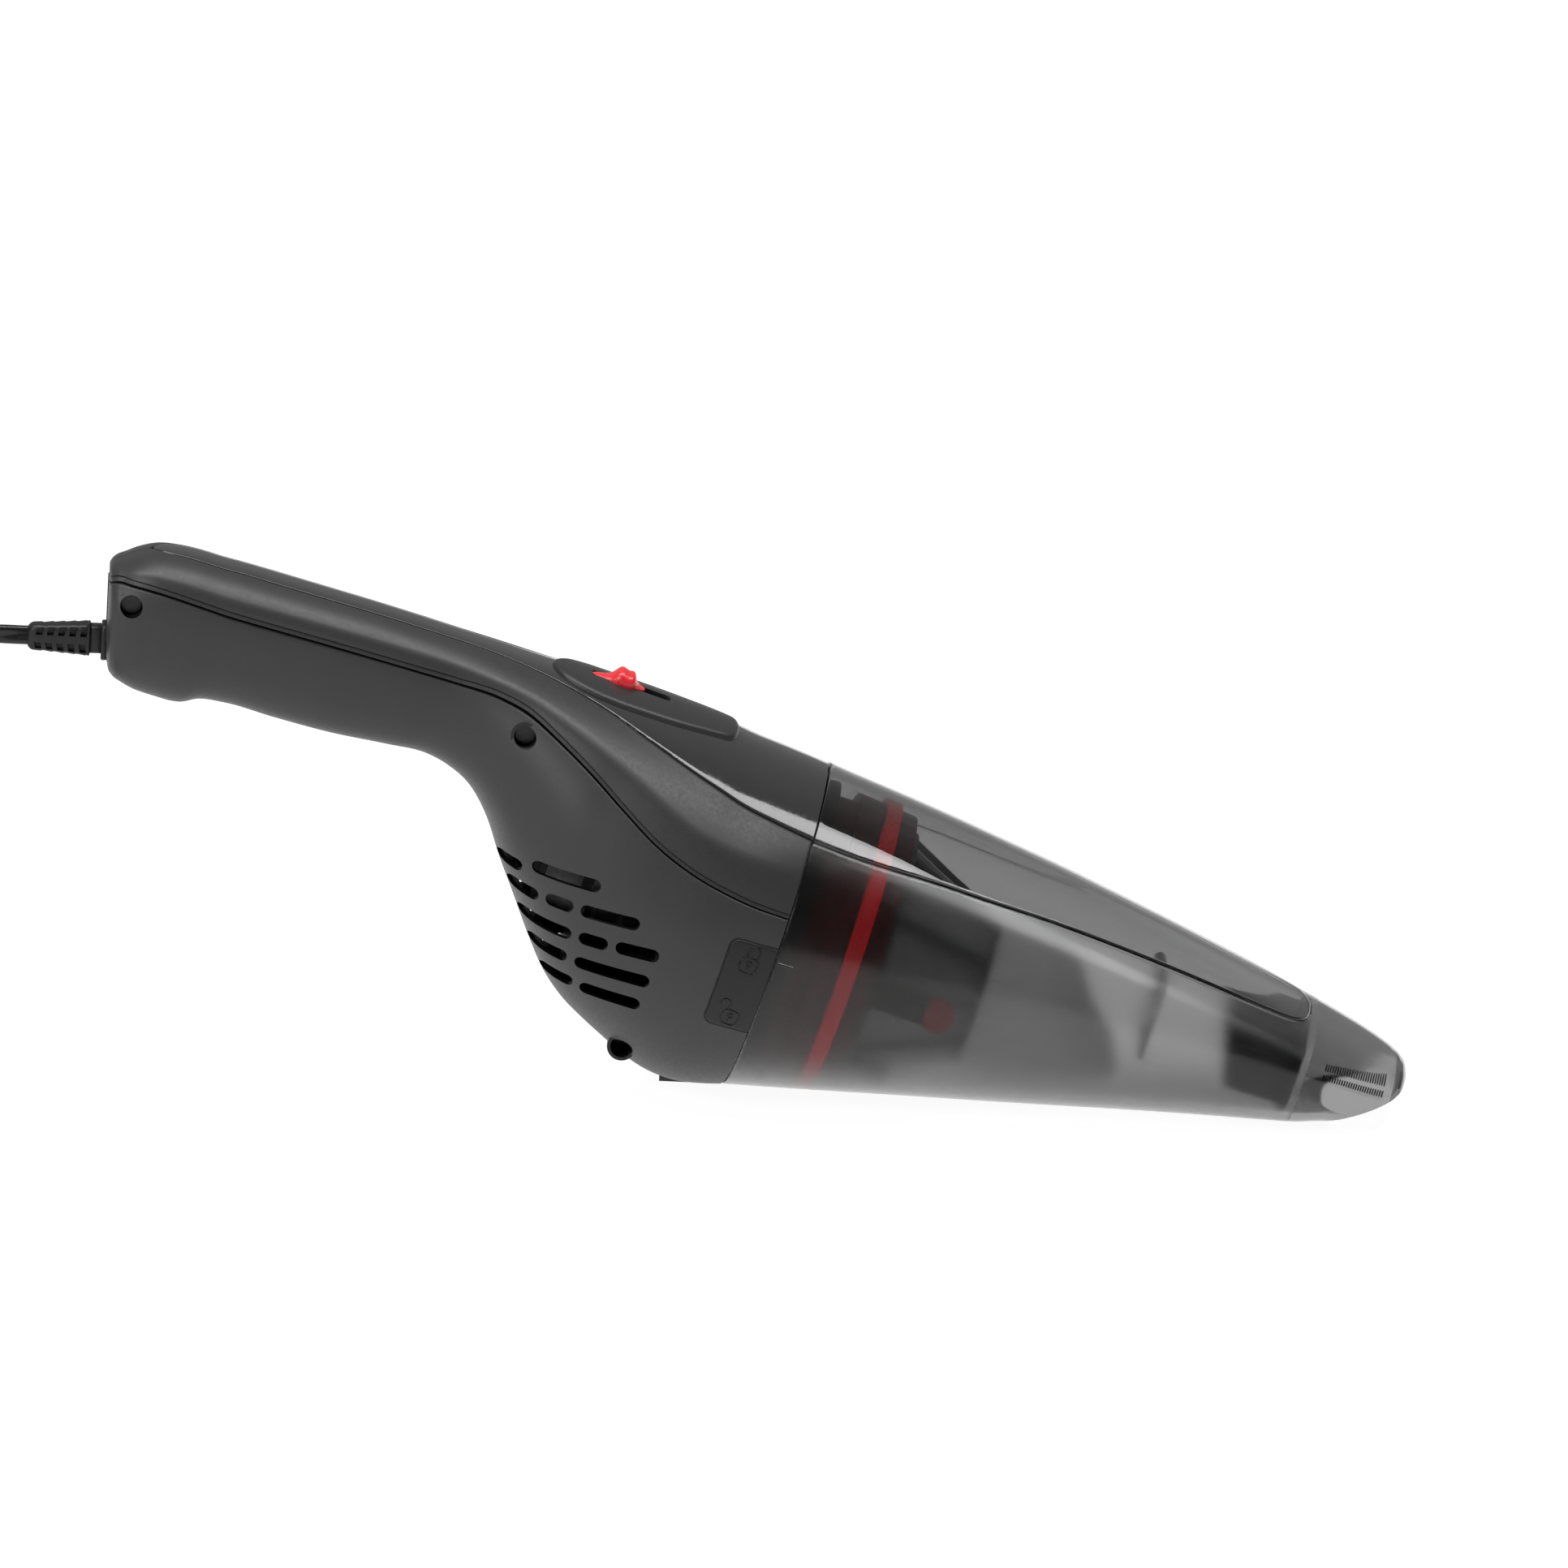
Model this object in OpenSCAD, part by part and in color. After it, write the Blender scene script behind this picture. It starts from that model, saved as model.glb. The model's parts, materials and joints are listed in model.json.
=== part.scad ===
// Corded handheld vacuum cleaner with a twist-off clear dust bowl.
// Lengths in millimetres. +X points at the nozzle, +Z up, the table is z = 0.
// Most parts are drawn in the motor axis frame: x along the motor axis from the bowl joint,
// z across it. The axis() module carries that frame to the resting posture.

/* [Posture] */
// Nose-down tilt of the motor axis at rest
axis_tilt = 16.3; // [10:0.1:25]
// Height of the bowl joint centre above the table
joint_height = 51; // [40:0.1:70]
// Distance of the bowl joint in front of mid-length
joint_forward = 18.45; // [0:0.05:40]

/* [Shell] */
// Wall thickness of the two housing halves
wall = 2.4; // [1.6:0.1:4]
// Thickness of the top cover
cover_t = 3.4; // [2.4:0.1:5]
// Depth of the recess for the spine panel
spine_t = 1.8; // [1:0.1:2.6]
// Gap along every shell seam
seam = 0.3; // [0.1:0.05:1]
// Rear face distance behind the joint, measured along the table
rear_face = 209.6; // [180:0.1:240]

/* [Dust bowl] */
// Wall thickness of the clear bowl
bowl_wall = 2.2; // [1.5:0.1:4]
// Gap between the housing and the bowl rim
joint_gap = 0.4; // [0.2:0.1:1]
// Where the slanted mouth starts on the underside
mouth_start = 174; // [150:1:190]
// Slope of the mouth against the motor axis
mouth_slope = 34; // [15:1:60]

/* [Motor and fan] */
// Radius of the motor can
motor_r = 17.9; // [12:0.1:20]
// Front end of the motor can
motor_front = -26.5; // [-34:0.5:-22]
// Rear end of the motor can
motor_rear = -73.5; // [-80:0.5:-60]
// Radius of the fan impeller
fan_r = 41; // [30:0.5:43]
// Number of fan blades
blades = 11; // [7:1:15]
// Shaft radius
shaft_r = 1.6; // [1:0.1:3]

/* [Switch] */
// Rear end of the slider slot
slot_rear = -79; // [-90:0.5:-70]
// Front end of the slider slot
slot_front = -53.5; // [-60:0.5:-45]
// Half width of the slider slot
slot_half = 2.6; // [2:0.1:4]
// Length of the switch travel
switch_travel = 7.5; // [5:0.5:10]

/* [Filter] */
// Rear end of the red filter band
band_rear = 12; // [10:0.5:16]
// Front end of the red filter band
band_front = 31; // [26:0.5:40]
// Front end of the screen cone
screen_front = 68; // [55:1:80]
// Number of cloth pleats
pleats = 20; // [12:1:30]

/* [Lead and plug] */
// Height of the lead where it leaves the rear face
lead_height = 132.8; // [100:0.1:150]
// Length of the strain relief boot behind the rear face
relief_len = 24.4; // [15:0.1:40]
// Width of the flat twin lead
lead_w = 6; // [4:0.1:8]
// Thickness of the flat twin lead
lead_t = 3.1; // [2:0.1:5]
// Bend radius where the lead turns down
drop_r = 26; // [20:1:40]
// Straight length behind the strain relief
lead_straight = 12; // [4:1:30]
// Radius of the coiled lead, at the middle of the bundle
coil_r = 37; // [30:1:60]
// Half width of the coiled bundle
bundle_w = 12.5; // [8:0.5:16]
// Half height of the coiled bundle
bundle_h = 10.5; // [6:0.5:14]
// Largest radius of the accessory plug
plug_r = 10.6; // [9:0.1:12]

/* [Hidden] */
lean = -tan(axis_tilt);
tip_x = joint_forward - rear_face - relief_len;
drop_x = tip_x - lead_straight - drop_r;
coil_x = drop_x - coil_r;
coil_top = 2 * bundle_h;
tail_x = coil_x - coil_r - bundle_w - 1.8;
plug_x = tail_x - 50;
plug_y = 22;

// Housing outline: along, top, bottom, half width, squareness, lean
housing_rows = [
  [-226.76, 42.5, 15.0, 8.5, 3.0, 1], [-226.4, 42.9, 14.0, 11.2, 2.9, 1],
  [-225.7, 43.6, 12.0, 13.9, 2.8, 1], [-224.2, 45.0, 10.3, 16.3, 2.7, 1],
  [-221.8, 46.6, 9.3, 17.8, 2.6, 1], [-218, 49.4, 8.4, 18.7, 2.6, 1],
  [-213, 52.6, 8.2, 19.1, 2.6, 0.85], [-208, 54.1, 8.3, 19.4, 2.6, 0.65],
  [-202, 54.9, 8.5, 19.5, 2.6, 0.4],
  [-197, 55.0, 9.4, 19.5, 2.6, 0.15], [-192, 55.3, 11.8, 19.4, 2.6, 0],
  [-184, 55.6, 13.3, 19.3, 2.6, 0], [-168, 56.1, 13.8, 19.1, 2.6, 0],
  [-150, 56.6, 14.8, 19.0, 2.6, 0], [-132, 56.8, 17.0, 19.4, 2.55, 0],
  [-120, 56.8, 18.2, 20.0, 2.5, 0], [-112, 56.7, 16.8, 21.7, 2.5, 0],
  [-104, 56.6, 13.2, 24.3, 2.45, 0], [-96, 56.5, 5.6, 28.0, 2.38, 0],
  [-88, 56.5, -5.4, 32.7, 2.31, 0], [-80, 56.5, -15.5, 37.2, 2.24, 0],
  [-72, 56.4, -25.8, 41.5, 2.17, 0], [-64, 56.3, -35.0, 44.8, 2.13, 0],
  [-56, 56.1, -41.4, 47.7, 2.1, 0], [-48, 55.8, -45.7, 50.0, 2.07, 0],
  [-40, 55.5, -49.4, 51.7, 2.04, 0], [-32, 55.0, -52.9, 53.2, 2.02, 0],
  [-24, 54.0, -55.2, 54.2, 2, 0], [-14, 53.3, -55.6, 54.2, 2, 0],
  [-6, 52.7, -53.9, 53.2, 2, 0], [-0.4, 52.2, -52.2, 52.2, 2, 0]];

// Bowl outline: along, top, bottom, half width, squareness, lean
bowl_rows = [
  [0, 52.0, -52.0, 52.0, 2, 0], [8, 51.2, -49.9, 51.7, 2, 0], [24, 49.6, -45.4, 51.0, 2.05, 0],
  [40, 47.8, -40.8, 50.2, 2.1, 0], [60, 45.3, -35.2, 48.4, 2.15, 0], [80, 42.4, -29.3, 46.5, 2.3, 0],
  [100, 39.1, -23.4, 44.0, 2.45, 0], [120, 35.7, -17.5, 41.5, 2.6, 0], [140, 31.9, -11.7, 38.6, 2.85, 0],
  [160, 28.0, -6.2, 35.8, 3.1, 0], [170, 26.0, -3.4, 34.4, 3.2, 0], [178, 24.2, -0.5, 33.0, 3.2, 0],
  [184, 22.8, 0.6, 31.8, 3.2, 0], [190, 21.4, 1.8, 29.8, 3.0, 0], [194, 20.4, 3.0, 27.0, 2.8, 0],
  [197, 19.4, 5.0, 22.5, 2.6, 0], [198.8, 18.2, 8.0, 16.0, 2.4, 0], [199.6, 16.8, 11.0, 8.0, 2.2, 0]];

// Height of the side seam along the motor axis
seam_line = [
  [-232, 38.9], [-226.8, 39.3], [-224, 41.0], [-218, 42.3], [-190, 43.3], [-156, 44.6],
  [-120, 46.0], [-105, 46.6], [-95, 45.4], [-85, 42.1],
  [-72, 36.8], [-58.5, 30.1], [-45, 23.8], [-32, 19.8], [-20, 17.6], [-12, 16.6], [0, 15.9]];
// Half width of the spine panel along the motor axis
spine_line = [
  [-216, 4.0], [-206, 6.4], [-190, 7.0], [-130, 7.0], [-111, 7.2], [-104, 8.2], [-93, 10.8], [-84, 14.0],
  [-70, 19.4], [-58, 24.6], [-46, 29.0], [-33, 32.6], [-21, 34.6], [-10, 35.4], [0, 35.4]];
// Half width of the switch pad along the motor axis
pad_line = [
  [-91.5, 1.2], [-90.5, 5.0], [-88, 8.6], [-84, 11.6], [-78, 14.0], [-70, 15.2], [-60, 15.3], [-50, 14.6],
  [-42, 13.2], [-36, 11.6], [-33, 10.2], [-31.6, 8.6], [-31, 6.2]];
// Exhaust slots: rear end, front end, height at mid length
vents = [
  [-90, -81.7, -0.7], [-79.7, -58, 4.6], [-84.5, -74.3, -6.9], [-72.5, -63.7, -4.3], [-61.7, -43.1, -1.7],
  [-78.6, -61.3, -14.0], [-59.3, -50.1, -11.3], [-48.0, -34.3, -8.8], [-72.7, -60.0, -22.0],
  [-57.9, -34.3, -18.9], [-66.2, -55.5, -29.8], [-53.5, -34.5, -27.5]];
// Housing screws: along, height, reach of the boss from the middle plane
screws = [[-221.5, 36.6, 15.2], [-94.1, 39.0, 25.0], [-34.0, -46.2, 12.6]];

function spow(v, e) = sign(v) * pow(abs(v), e);
function col(rows, c) = [for (r = rows) [r[0], r[c]]];
function row_at(rows, u) = [u, for (c = [1 : 5]) lookup(u, col(rows, c))];
// Point of a section at an angle from the +Y side, moved inwards by inset
function skin(r, ang, inset, side) =
  let (c = (r[1] + r[2]) / 2, a = (r[1] - r[2]) / 2 - inset, h = r[3] - inset)
  let (z = c + a * spow(sin(ang), 2 / r[4]), y = side * h * spow(cos(ang), 2 / r[4]))
  [r[0] + lean * r[5] * (z - c), y, z];
function seam_ang(r, inset, dz) =
  let (c = (r[1] + r[2]) / 2, a = (r[1] - r[2]) / 2 - inset)
  asin(spow(max(-0.98, min(0.98, (lookup(r[0], seam_line) + dz - c) / a)), r[4] / 2));
function half_ang(r, inset, y) = acos(spow(min(0.98, y / (r[3] - inset)), r[4] / 2));

// Closed solid between an outer and an inner grid of points with the same shape
module grid_solid(outer, inner, flip = false) {
  n = len(outer);
  m = len(outer[0]);
  off = n * m;
  pts = concat([for (r = outer) each r], [for (r = inner) each r]);
  quads = concat(
    [for (i = [0 : n - 2], j = [0 : m - 2]) [i * m + j, i * m + j + 1, (i + 1) * m + j + 1, (i + 1) * m + j]],
    [for (i = [0 : n - 2], j = [0 : m - 2])
      [off + i * m + j, off + (i + 1) * m + j, off + (i + 1) * m + j + 1, off + i * m + j + 1]],
    [for (i = [0 : n - 2]) [i * m, (i + 1) * m, off + (i + 1) * m, off + i * m]],
    [for (i = [0 : n - 2]) let (a = i * m + m - 1) [a, off + a, off + a + m, a + m]],
    [for (j = [0 : m - 2]) [j, off + j, off + j + 1, j + 1]],
    [for (j = [0 : m - 2]) let (b = (n - 1) * m) [b + j, b + j + 1, off + b + j + 1, off + b + j]]);
  tris = [for (q = quads) each [[q[0], q[1], q[2]], [q[0], q[2], q[3]]]];
  polyhedron(points = pts, faces = [for (t = tris) flip ? [t[2], t[1], t[0]] : t], convexity = 8);
}

// Closed solid through a list of rings with the same number of points
module ring_solid(rings) {
  n = len(rings);
  m = len(rings[0]);
  mid = [for (k = [0, n - 1]) [for (c = [0 : 2]) [for (p = rings[k]) 1] * [for (p = rings[k]) p[c]] / m]];
  sides = [for (i = [0 : n - 2], j = [0 : m - 1]) let (k = (j + 1) % m)
    each [[i * m + j, i * m + k, (i + 1) * m + k], [i * m + j, (i + 1) * m + k, (i + 1) * m + j]]];
  caps = [for (j = [0 : m - 1]) let (k = (j + 1) % m, b = (n - 1) * m)
    each [[n * m, k, j], [n * m + 1, b + j, b + k]]];
  polyhedron(points = concat([for (r = rings) each r], mid),
             faces = [for (t = concat(sides, caps)) [t[2], t[1], t[0]]], convexity = 8);
}

// Full ring of a section
function ring(r, inset, m = 40) = [for (k = [0 : m - 1]) let (t = 360 * k / m)
  let (s = t <= 90 ? [t, 1] : t <= 270 ? [180 - t, -1] : [t - 360, 1]) skin(r, s[0], inset, s[1])];

module axis() {
  translate([joint_forward, 0, joint_height]) rotate([0, axis_tilt, 0]) children();
}
// Ring about the motor axis between two stations
module tube(x0, x1, ro, ri) {
  translate([x0, 0, 0]) rotate([0, 90, 0]) difference() {
    cylinder(r = ro, h = x1 - x0, $fn = 96);
    translate([0, 0, -1]) cylinder(r = ri, h = x1 - x0 + 2, $fn = 96);
  }
}
module rod(x0, x1, r) {
  translate([x0, 0, 0]) rotate([0, 90, 0]) cylinder(r = r, h = x1 - x0, $fn = 64);
}
module across(x, z, y0, y1, r) {
  translate([x, y1, z]) rotate([90, 0, 0]) cylinder(r = r, h = y1 - y0, $fn = 32);
}
module box(x, y, z) {
  translate([x[0], y[0], z[0]]) cube([x[1] - x[0], y[1] - y[0], z[1] - z[0]]);
}

/* Housing */
module vent_shapes() {
  for (v = vents) translate([(v[0] + v[1]) / 2, v[2]]) rotate(9) {
    square([v[1] - v[0] - 4.2, 4.2], center = true);
    for (s = [-1, 1]) translate([s * ((v[1] - v[0]) / 2 - 2.1), 0]) circle(r = 2.1, $fn = 24);
  }
}
module half_shell(side) {
  steps = 12;
  function ang(r, inset, j) = -90 + (seam_ang(r, inset, -seam / 2) + 90) * j / steps;
  function pt(r, inset, j) = skin(r, ang(r, inset, j), inset, side) + [0, side * seam / 4, 0];
  back = housing_rows[0];
  zc = lookup(-228, seam_line) - seam / 2;
  xo = back[0] + lean * (zc - (back[1] + back[2]) / 2);
  cap = [for (j = [0 : steps]) [xo, side * (seam / 4 + 0.1 * j / steps), zc - 0.2 + 0.2 * j / steps]];
  outer = concat([cap], [for (r = housing_rows) [for (j = [0 : steps]) pt(r, 0, j)]]);
  inner = concat([[for (p = cap) p + [wall, 0, 0]]],
                 [for (r = housing_rows) [for (j = [0 : steps])
                   let (p = pt(r, wall, j)) [max(p[0], xo + wall + lean * (p[2] - zc)), p[1], p[2]]]]);
  difference() {
    union() {
      grid_solid(outer, inner, side > 0);
      for (s = screws) across(s[0], s[1], side > 0 ? seam / 4 : -s[2], side > 0 ? s[2] : -seam / 4, 4.4);
    }
    for (s = screws) {
      across(s[0], s[1], side > 0 ? -1 : -60, side > 0 ? 9 : 1, 1.6);
      if (side < 0) across(s[0], s[1], -60, -s[2] + 3.2, 3.5);
    }
    rotate([90, 0, 0]) translate([0, 0, side > 0 ? -60 : 8]) linear_extrude(52) vent_shapes();
    relief_hole();
  }
}
module relief_hole() {
  rotate([0, -axis_tilt, 0]) translate([-rear_face - 12, 0, lead_height - joint_height])
    rotate([0, 90, 0]) cylinder(r = 5.4, h = 24, $fn = 48);
}
module right_housing() {
  color([0.27, 0.27, 0.28]) axis() half_shell(-1);
}
module left_housing() {
  color([0.27, 0.27, 0.28]) axis() half_shell(1);
}

module slot_cut() {
  box([slot_rear, slot_front], [-slot_half, slot_half], [40, 64]);
}
module top_cover() {
  nb = 5;
  ns = 3;
  function depth(r) = r[0] < -215 ? 0.02 : spine_t;
  function spine_a(r) = half_ang(r, 0, lookup(r[0], spine_line));
  function side_pts(r, side, inner) =
    let (ga = seam_ang(r, inner ? cover_t : 0, seam / 2), sa = spine_a(r), d = depth(r))
    concat([for (k = [0 : nb]) skin(r, ga + (sa - ga) * k / nb, inner ? cover_t : 0, side)],
           [for (k = [0 : ns - 1]) skin(r, sa + (90 - sa) * k / ns, inner ? cover_t : d, side)]);
  function full(r, inner) = let (a = side_pts(r, -1, inner), b = side_pts(r, 1, inner), n = len(a))
    concat(a, [skin(r, 90, inner ? cover_t : depth(r), 1)], [for (k = [n - 1 : -1 : 0]) b[k]]);
  back = housing_rows[0];
  zc = lookup(-228, seam_line) + seam / 2;
  xo = back[0] + lean * (zc - (back[1] + back[2]) / 2);
  m = len(full(back, false));
  cap = [for (j = [0 : m - 1]) [xo, -0.2 + 0.4 * j / (m - 1), zc + 0.2 * sin(180 * j / (m - 1))]];
  outer = concat([cap], [for (r = housing_rows) full(r, false)]);
  inner = concat([[for (p = cap) p + [wall, 0, 0]]],
                 [for (r = housing_rows) [for (p = full(r, true))
                   [max(p[0], xo + wall + lean * (p[2] - zc)), p[1], p[2]]]]);
  color([0.25, 0.25, 0.26]) axis() difference() {
    grid_solid(outer, inner);
    slot_cut();
  }
}
module patch(rows, line, out, inn, cols, dy) {
  function edge(r) = half_ang(r, 0, max(0.6, lookup(r[0], line) - dy));
  function ang(r, j) = edge(r) + (180 - 2 * edge(r)) * j / cols;
  function pt(r, inset, j) = let (t = ang(r, j)) t <= 90 ? skin(r, t, inset, -1) : skin(r, 180 - t, inset, 1);
  grid_solid([for (r = rows) [for (j = [0 : cols]) pt(r, out, j)]],
             [for (r = rows) [for (j = [0 : cols]) pt(r, inn, j)]]);
}
module spine_panel() {
  rows = concat([row_at(housing_rows, -214)], [for (r = housing_rows) if (r[0] > -213) r]);
  color([0.4, 0.4, 0.41]) axis() difference() {
    patch(rows, spine_line, 0.05, spine_t - 0.2, 10, 0.15);
    slot_cut();
  }
}
module switch_pad() {
  rows = [for (p = pad_line) row_at(housing_rows, p[0])];
  color([0.13, 0.13, 0.14]) axis() difference() {
    patch(rows, pad_line, -1.2, -0.05, 10, 0);
    slot_cut();
  }
}
// Shackle and body of a generic padlock, drawn flat
module padlock(open) {
  square([4.4, 3.4], center = true);
  translate([0, 1.7]) rotate(open ? 30 : 0) difference() {
    circle(r = 1.9, $fn = 24);
    circle(r = 1.2, $fn = 24);
    translate([-3, -4]) square([6, 4]);
  }
}
module lock_panel() {
  rows = [for (u = [-15, -12, -8, -4, -0.8]) row_at(housing_rows, u)];
  module plate(outer, inner)
    grid_solid([for (r = rows) [for (j = [0 : 16]) skin(r, 7 - 33 * j / 16, -outer, -1)]],
               [for (r = rows) [for (j = [0 : 16]) skin(r, 7 - 33 * j / 16, -inner, -1)]], true);
  color([0.2, 0.2, 0.21]) axis() {
    plate(0.5, 0.2);
    intersection() {
      plate(0.8, 0.3);
      for (k = [[1.4, false], [-17.3, true]]) rotate([asin(-k[0] / 53), 0, 0])
        translate([-7.5, -50, 0]) rotate([90, 0, 0]) linear_extrude(8) padlock(k[1]);
    }
  }
}
module foot() {
  color([0.08, 0.08, 0.08]) translate([joint_forward - 33.6, -4, 0]) cube([9, 8, 1.35]);
}
module housing_screws() {
  color([0.6, 0.6, 0.62]) axis() for (s = screws) {
    across(s[0], s[1], -s[2] + 1.2, -s[2] + 3.15, 3.0);
    across(s[0], s[1], -s[2] + 3, 8.2, 1.45);
  }
}
module bowl_spigot() {
  color([0.1, 0.1, 0.1]) axis() {
    tube(-7, 5, 47.6, 46.0);
    tube(-7, -4, 48.4, 46.5);
    for (a = [33, 153, 273]) rotate([a, 0, 0]) box([-2, 11], [-3.6, 3.6], [44.9, 46.3]);
  }
}
module fan_guard() {
  color([0.12, 0.12, 0.13]) axis() difference() {
    rod(-4.2, -2.6, 45.8);
    for (k = [0 : 11]) rotate([30 * k, 0, 0]) box([-6, 0], [-2.2, 2.2], [9, 24]);
    for (k = [0 : 17]) rotate([20 * k, 0, 0]) box([-6, 0], [-1.6, 1.6], [28, 42]);
  }
}

/* Motor and fan */
module fan_housing() {
  color([0.1, 0.1, 0.1]) axis() difference() {
    union() {
      tube(-24, -6.6, 45.4, 44.0);
      tube(-8.0, -6.6, 45.4, 15);
    }
    for (k = [0 : 8]) rotate([40 * k, 0, 0]) box([-22.5, -17], [-7, 7], [40, 50]);
  }
}
module motor_plate() {
  color([0.14, 0.14, 0.15]) axis() difference() {
    rod(-26.2, -24.2, 47.5);
    rod(-30, -20, 7.2);
    for (k = [0 : 5]) rotate([60 * k, 0, 0]) box([-30, -20], [-9, 9], [33, 42]);
    for (s = [-1, 1]) translate([-30, 0, s * 12.5]) rotate([0, 90, 0]) cylinder(r = 1.7, h = 12, $fn = 24);
  }
}
module motor_screws() {
  color([0.6, 0.6, 0.62]) axis() for (s = [-1, 1]) translate([0, 0, s * 12.5]) {
    rod(-24.1, -22.6, 2.7);
    rod(-29.2, -24.0, 1.45);
  }
}
module impeller() {
  color([0.75, 0.75, 0.72]) axis() {
    difference() {
      union() {
        rod(-20.6, -19.2, fan_r);
        rod(-21.4, -10.2, 5.2);
        for (k = [0 : blades - 1]) rotate([360 * k / blades, 0, 0]) translate([-19.4, 0, 0])
          translate([0, -12, 24]) rotate([0, 90, 0]) blade();
      }
      rod(-24, -8, shaft_r + 0.02);
    }
  }
}
// One backward-curved blade, as a thick arc
module blade() {
  linear_extrude(8.6) difference() {
    intersection() {
      circle(r = 20.6, $fn = 72);
      translate([-16, 6]) square([32, 30]);
    }
    circle(r = 19.4, $fn = 72);
  }
}
module shaft() {
  color([0.7, 0.7, 0.72]) axis() rod(-83.4, -7.4, shaft_r);
}
module fan_nut() {
  color([0.8, 0.68, 0.35]) axis() difference() {
    translate([-10.1, 0, 0]) rotate([0, 90, 0]) cylinder(r = 3.6, h = 2.2, $fn = 6);
    rod(-12, -6, shaft_r + 0.02);
  }
}
module motor_can() {
  color([0.62, 0.63, 0.65]) axis() difference() {
    rod(motor_rear, motor_front, motor_r);
    rod(motor_rear - 1, motor_front - 1.4, motor_r - 0.9);
    rod(motor_front - 4, motor_front + 1, 5.1);
    for (s = [-1, 1]) translate([motor_front - 3, 0, s * 12.5]) rotate([0, 90, 0])
      cylinder(r = 1.5, h = 6, $fn = 24);
    for (k = [0 : 3]) rotate([45 + 90 * k, 0, 0]) box([motor_front - 9, motor_front - 3.5], [-3, 3], [12, 22]);
  }
}
module bushes() {
  color([0.75, 0.6, 0.35]) axis() {
    tube(-30.4, -26.3, 5.0, shaft_r + 0.05);
    tube(-81.6, -77.6, 5.0, shaft_r + 0.05);
  }
}
module magnets() {
  color([0.2, 0.2, 0.2]) axis() intersection() {
    tube(-67, -36.5, motor_r - 0.95, 12.9);
    for (s = [-1, 1]) scale([1, s, 1]) box([-70, -30], [4.5, 20], [-14, 14]);
  }
}
module armature() {
  color([0.45, 0.42, 0.4]) axis() difference() {
    rod(-62.5, -40, 12.2);
    for (k = [0 : 4]) rotate([72 * k, 0, 0]) box([-63, -39], [-1.2, 1.2], [9, 13]);
    rod(-70, -36, shaft_r + 0.02);
  }
}
module windings() {
  color([0.75, 0.4, 0.18]) axis() {
    tube(-39.9, -35.6, 10.2, shaft_r + 0.6);
    tube(-66.6, -62.6, 10.2, shaft_r + 0.6);
    for (k = [0 : 4]) rotate([72 * k, 0, 0]) box([-63.5, -39], [-1.1, 1.1], [9.05, 11.4]);
  }
}
module commutator() {
  color([0.8, 0.5, 0.25]) axis() difference() {
    rod(-74.6, -66.7, 4.6);
    rod(-76, -66, shaft_r + 0.02);
    for (k = [0 : 4]) rotate([72 * k, 0, 0]) box([-75, -68.2], [-0.25, 0.25], [3.9, 5]);
  }
}
module brushes() {
  color([0.15, 0.15, 0.15]) axis() for (s = [-1, 1]) scale([1, s, 1])
    box([-73.4, -69.4], [4.65, 10.5], [-1.9, 1.9]);
}
module brush_arms() {
  color([0.8, 0.6, 0.25]) axis() for (s = [-1, 1]) scale([1, s, 1]) {
    box([-73.6, -69.2], [10.55, 11.0], [-2.4, 2.4]);
    box([-82.5, -73.0], [10.55, 11.0], [-1.6, 1.6]);
  }
}
module motor_end_cap() {
  color([0.85, 0.85, 0.82]) axis() difference() {
    union() {
      rod(-75.6, -73.6, motor_r);
      rod(-77.4, -75.5, 14);
      rod(-83, -77, 7);
    }
    rod(-90, -77.5, 5.05);
    rod(-80, -70, 2.6);
    for (s = [-1, 1]) scale([1, s, 1]) box([-80, -70], [10.4, 11.2], [-2.6, 2.6]);
    rod(-75.5, -73, 5.4);
    box([-75.2, -73], [-12, 12], [-2.8, 2.8]);
  }
}
module capacitor() {
  color([0.75, 0.45, 0.15]) axis() rotate([90, 0, 0]) translate([-81.6, 10.6, -1.6]) {
    cylinder(r = 3.2, h = 3.2, $fn = 32);
  }
}
module motor_cradle() {
  r = row_at(housing_rows, -60);
  q = row_at(housing_rows, -57);
  color([0.15, 0.15, 0.16]) axis() difference() {
    ring_solid([ring(r, 4.6, 32), ring(q, 4.6, 32)]);
    rod(-62, -55, motor_r + 2.6);
    for (a = [0 : 45 : 315]) rotate([a, 0, 0]) translate([-62, 0, 32.5]) rotate([0, 90, 0])
      cylinder(r = 5.6, h = 8, $fn = 32);
    box([-62, -54], [-11, 11], [30, 60]);
  }
}
module motor_grommet() {
  color([0.07, 0.07, 0.07]) axis() tube(-61.8, -55.2, motor_r + 2.5, motor_r + 0.05);
}

/* Switch */
module switch_slider() {
  color([0.86, 0.2, 0.22]) axis() {
    difference() {
      box([-74.4, -62.6], [-6.2, 6.2], [57.9, 61.4]);
      translate([-68.5, 0, 66.4]) rotate([90, 0, 0]) cylinder(r = 6.6, h = 20, center = true, $fn = 48);
    }
    box([-78.6, -61.8], [-2.3, 2.3], [57.9, 58.7]);
    box([-73.4, -63.6], [-2.2, 2.2], [50.8, 58.2]);
  }
}
module slider_carrier() {
  color([0.1, 0.1, 0.1]) axis() difference() {
    box([-77.5, -59.5], [-5.4, 5.4], [49.2, 50.7]);
    box([-71, -66], [-1.4, 1.4], [49, 51]);
  }
}
module switch_body() {
  color([0.12, 0.12, 0.12]) axis() difference() {
    box([-81, -51], [-6.4, 6.4], [34, 48.8]);
    box([-75, -58], [-1.9, 1.9], [45, 50]);
  }
}
module switch_toggle() {
  color([0.85, 0.85, 0.85]) axis() box([-70.8, -66.2], [-1.2, 1.2], [45.4, 50.6]);
}
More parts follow.
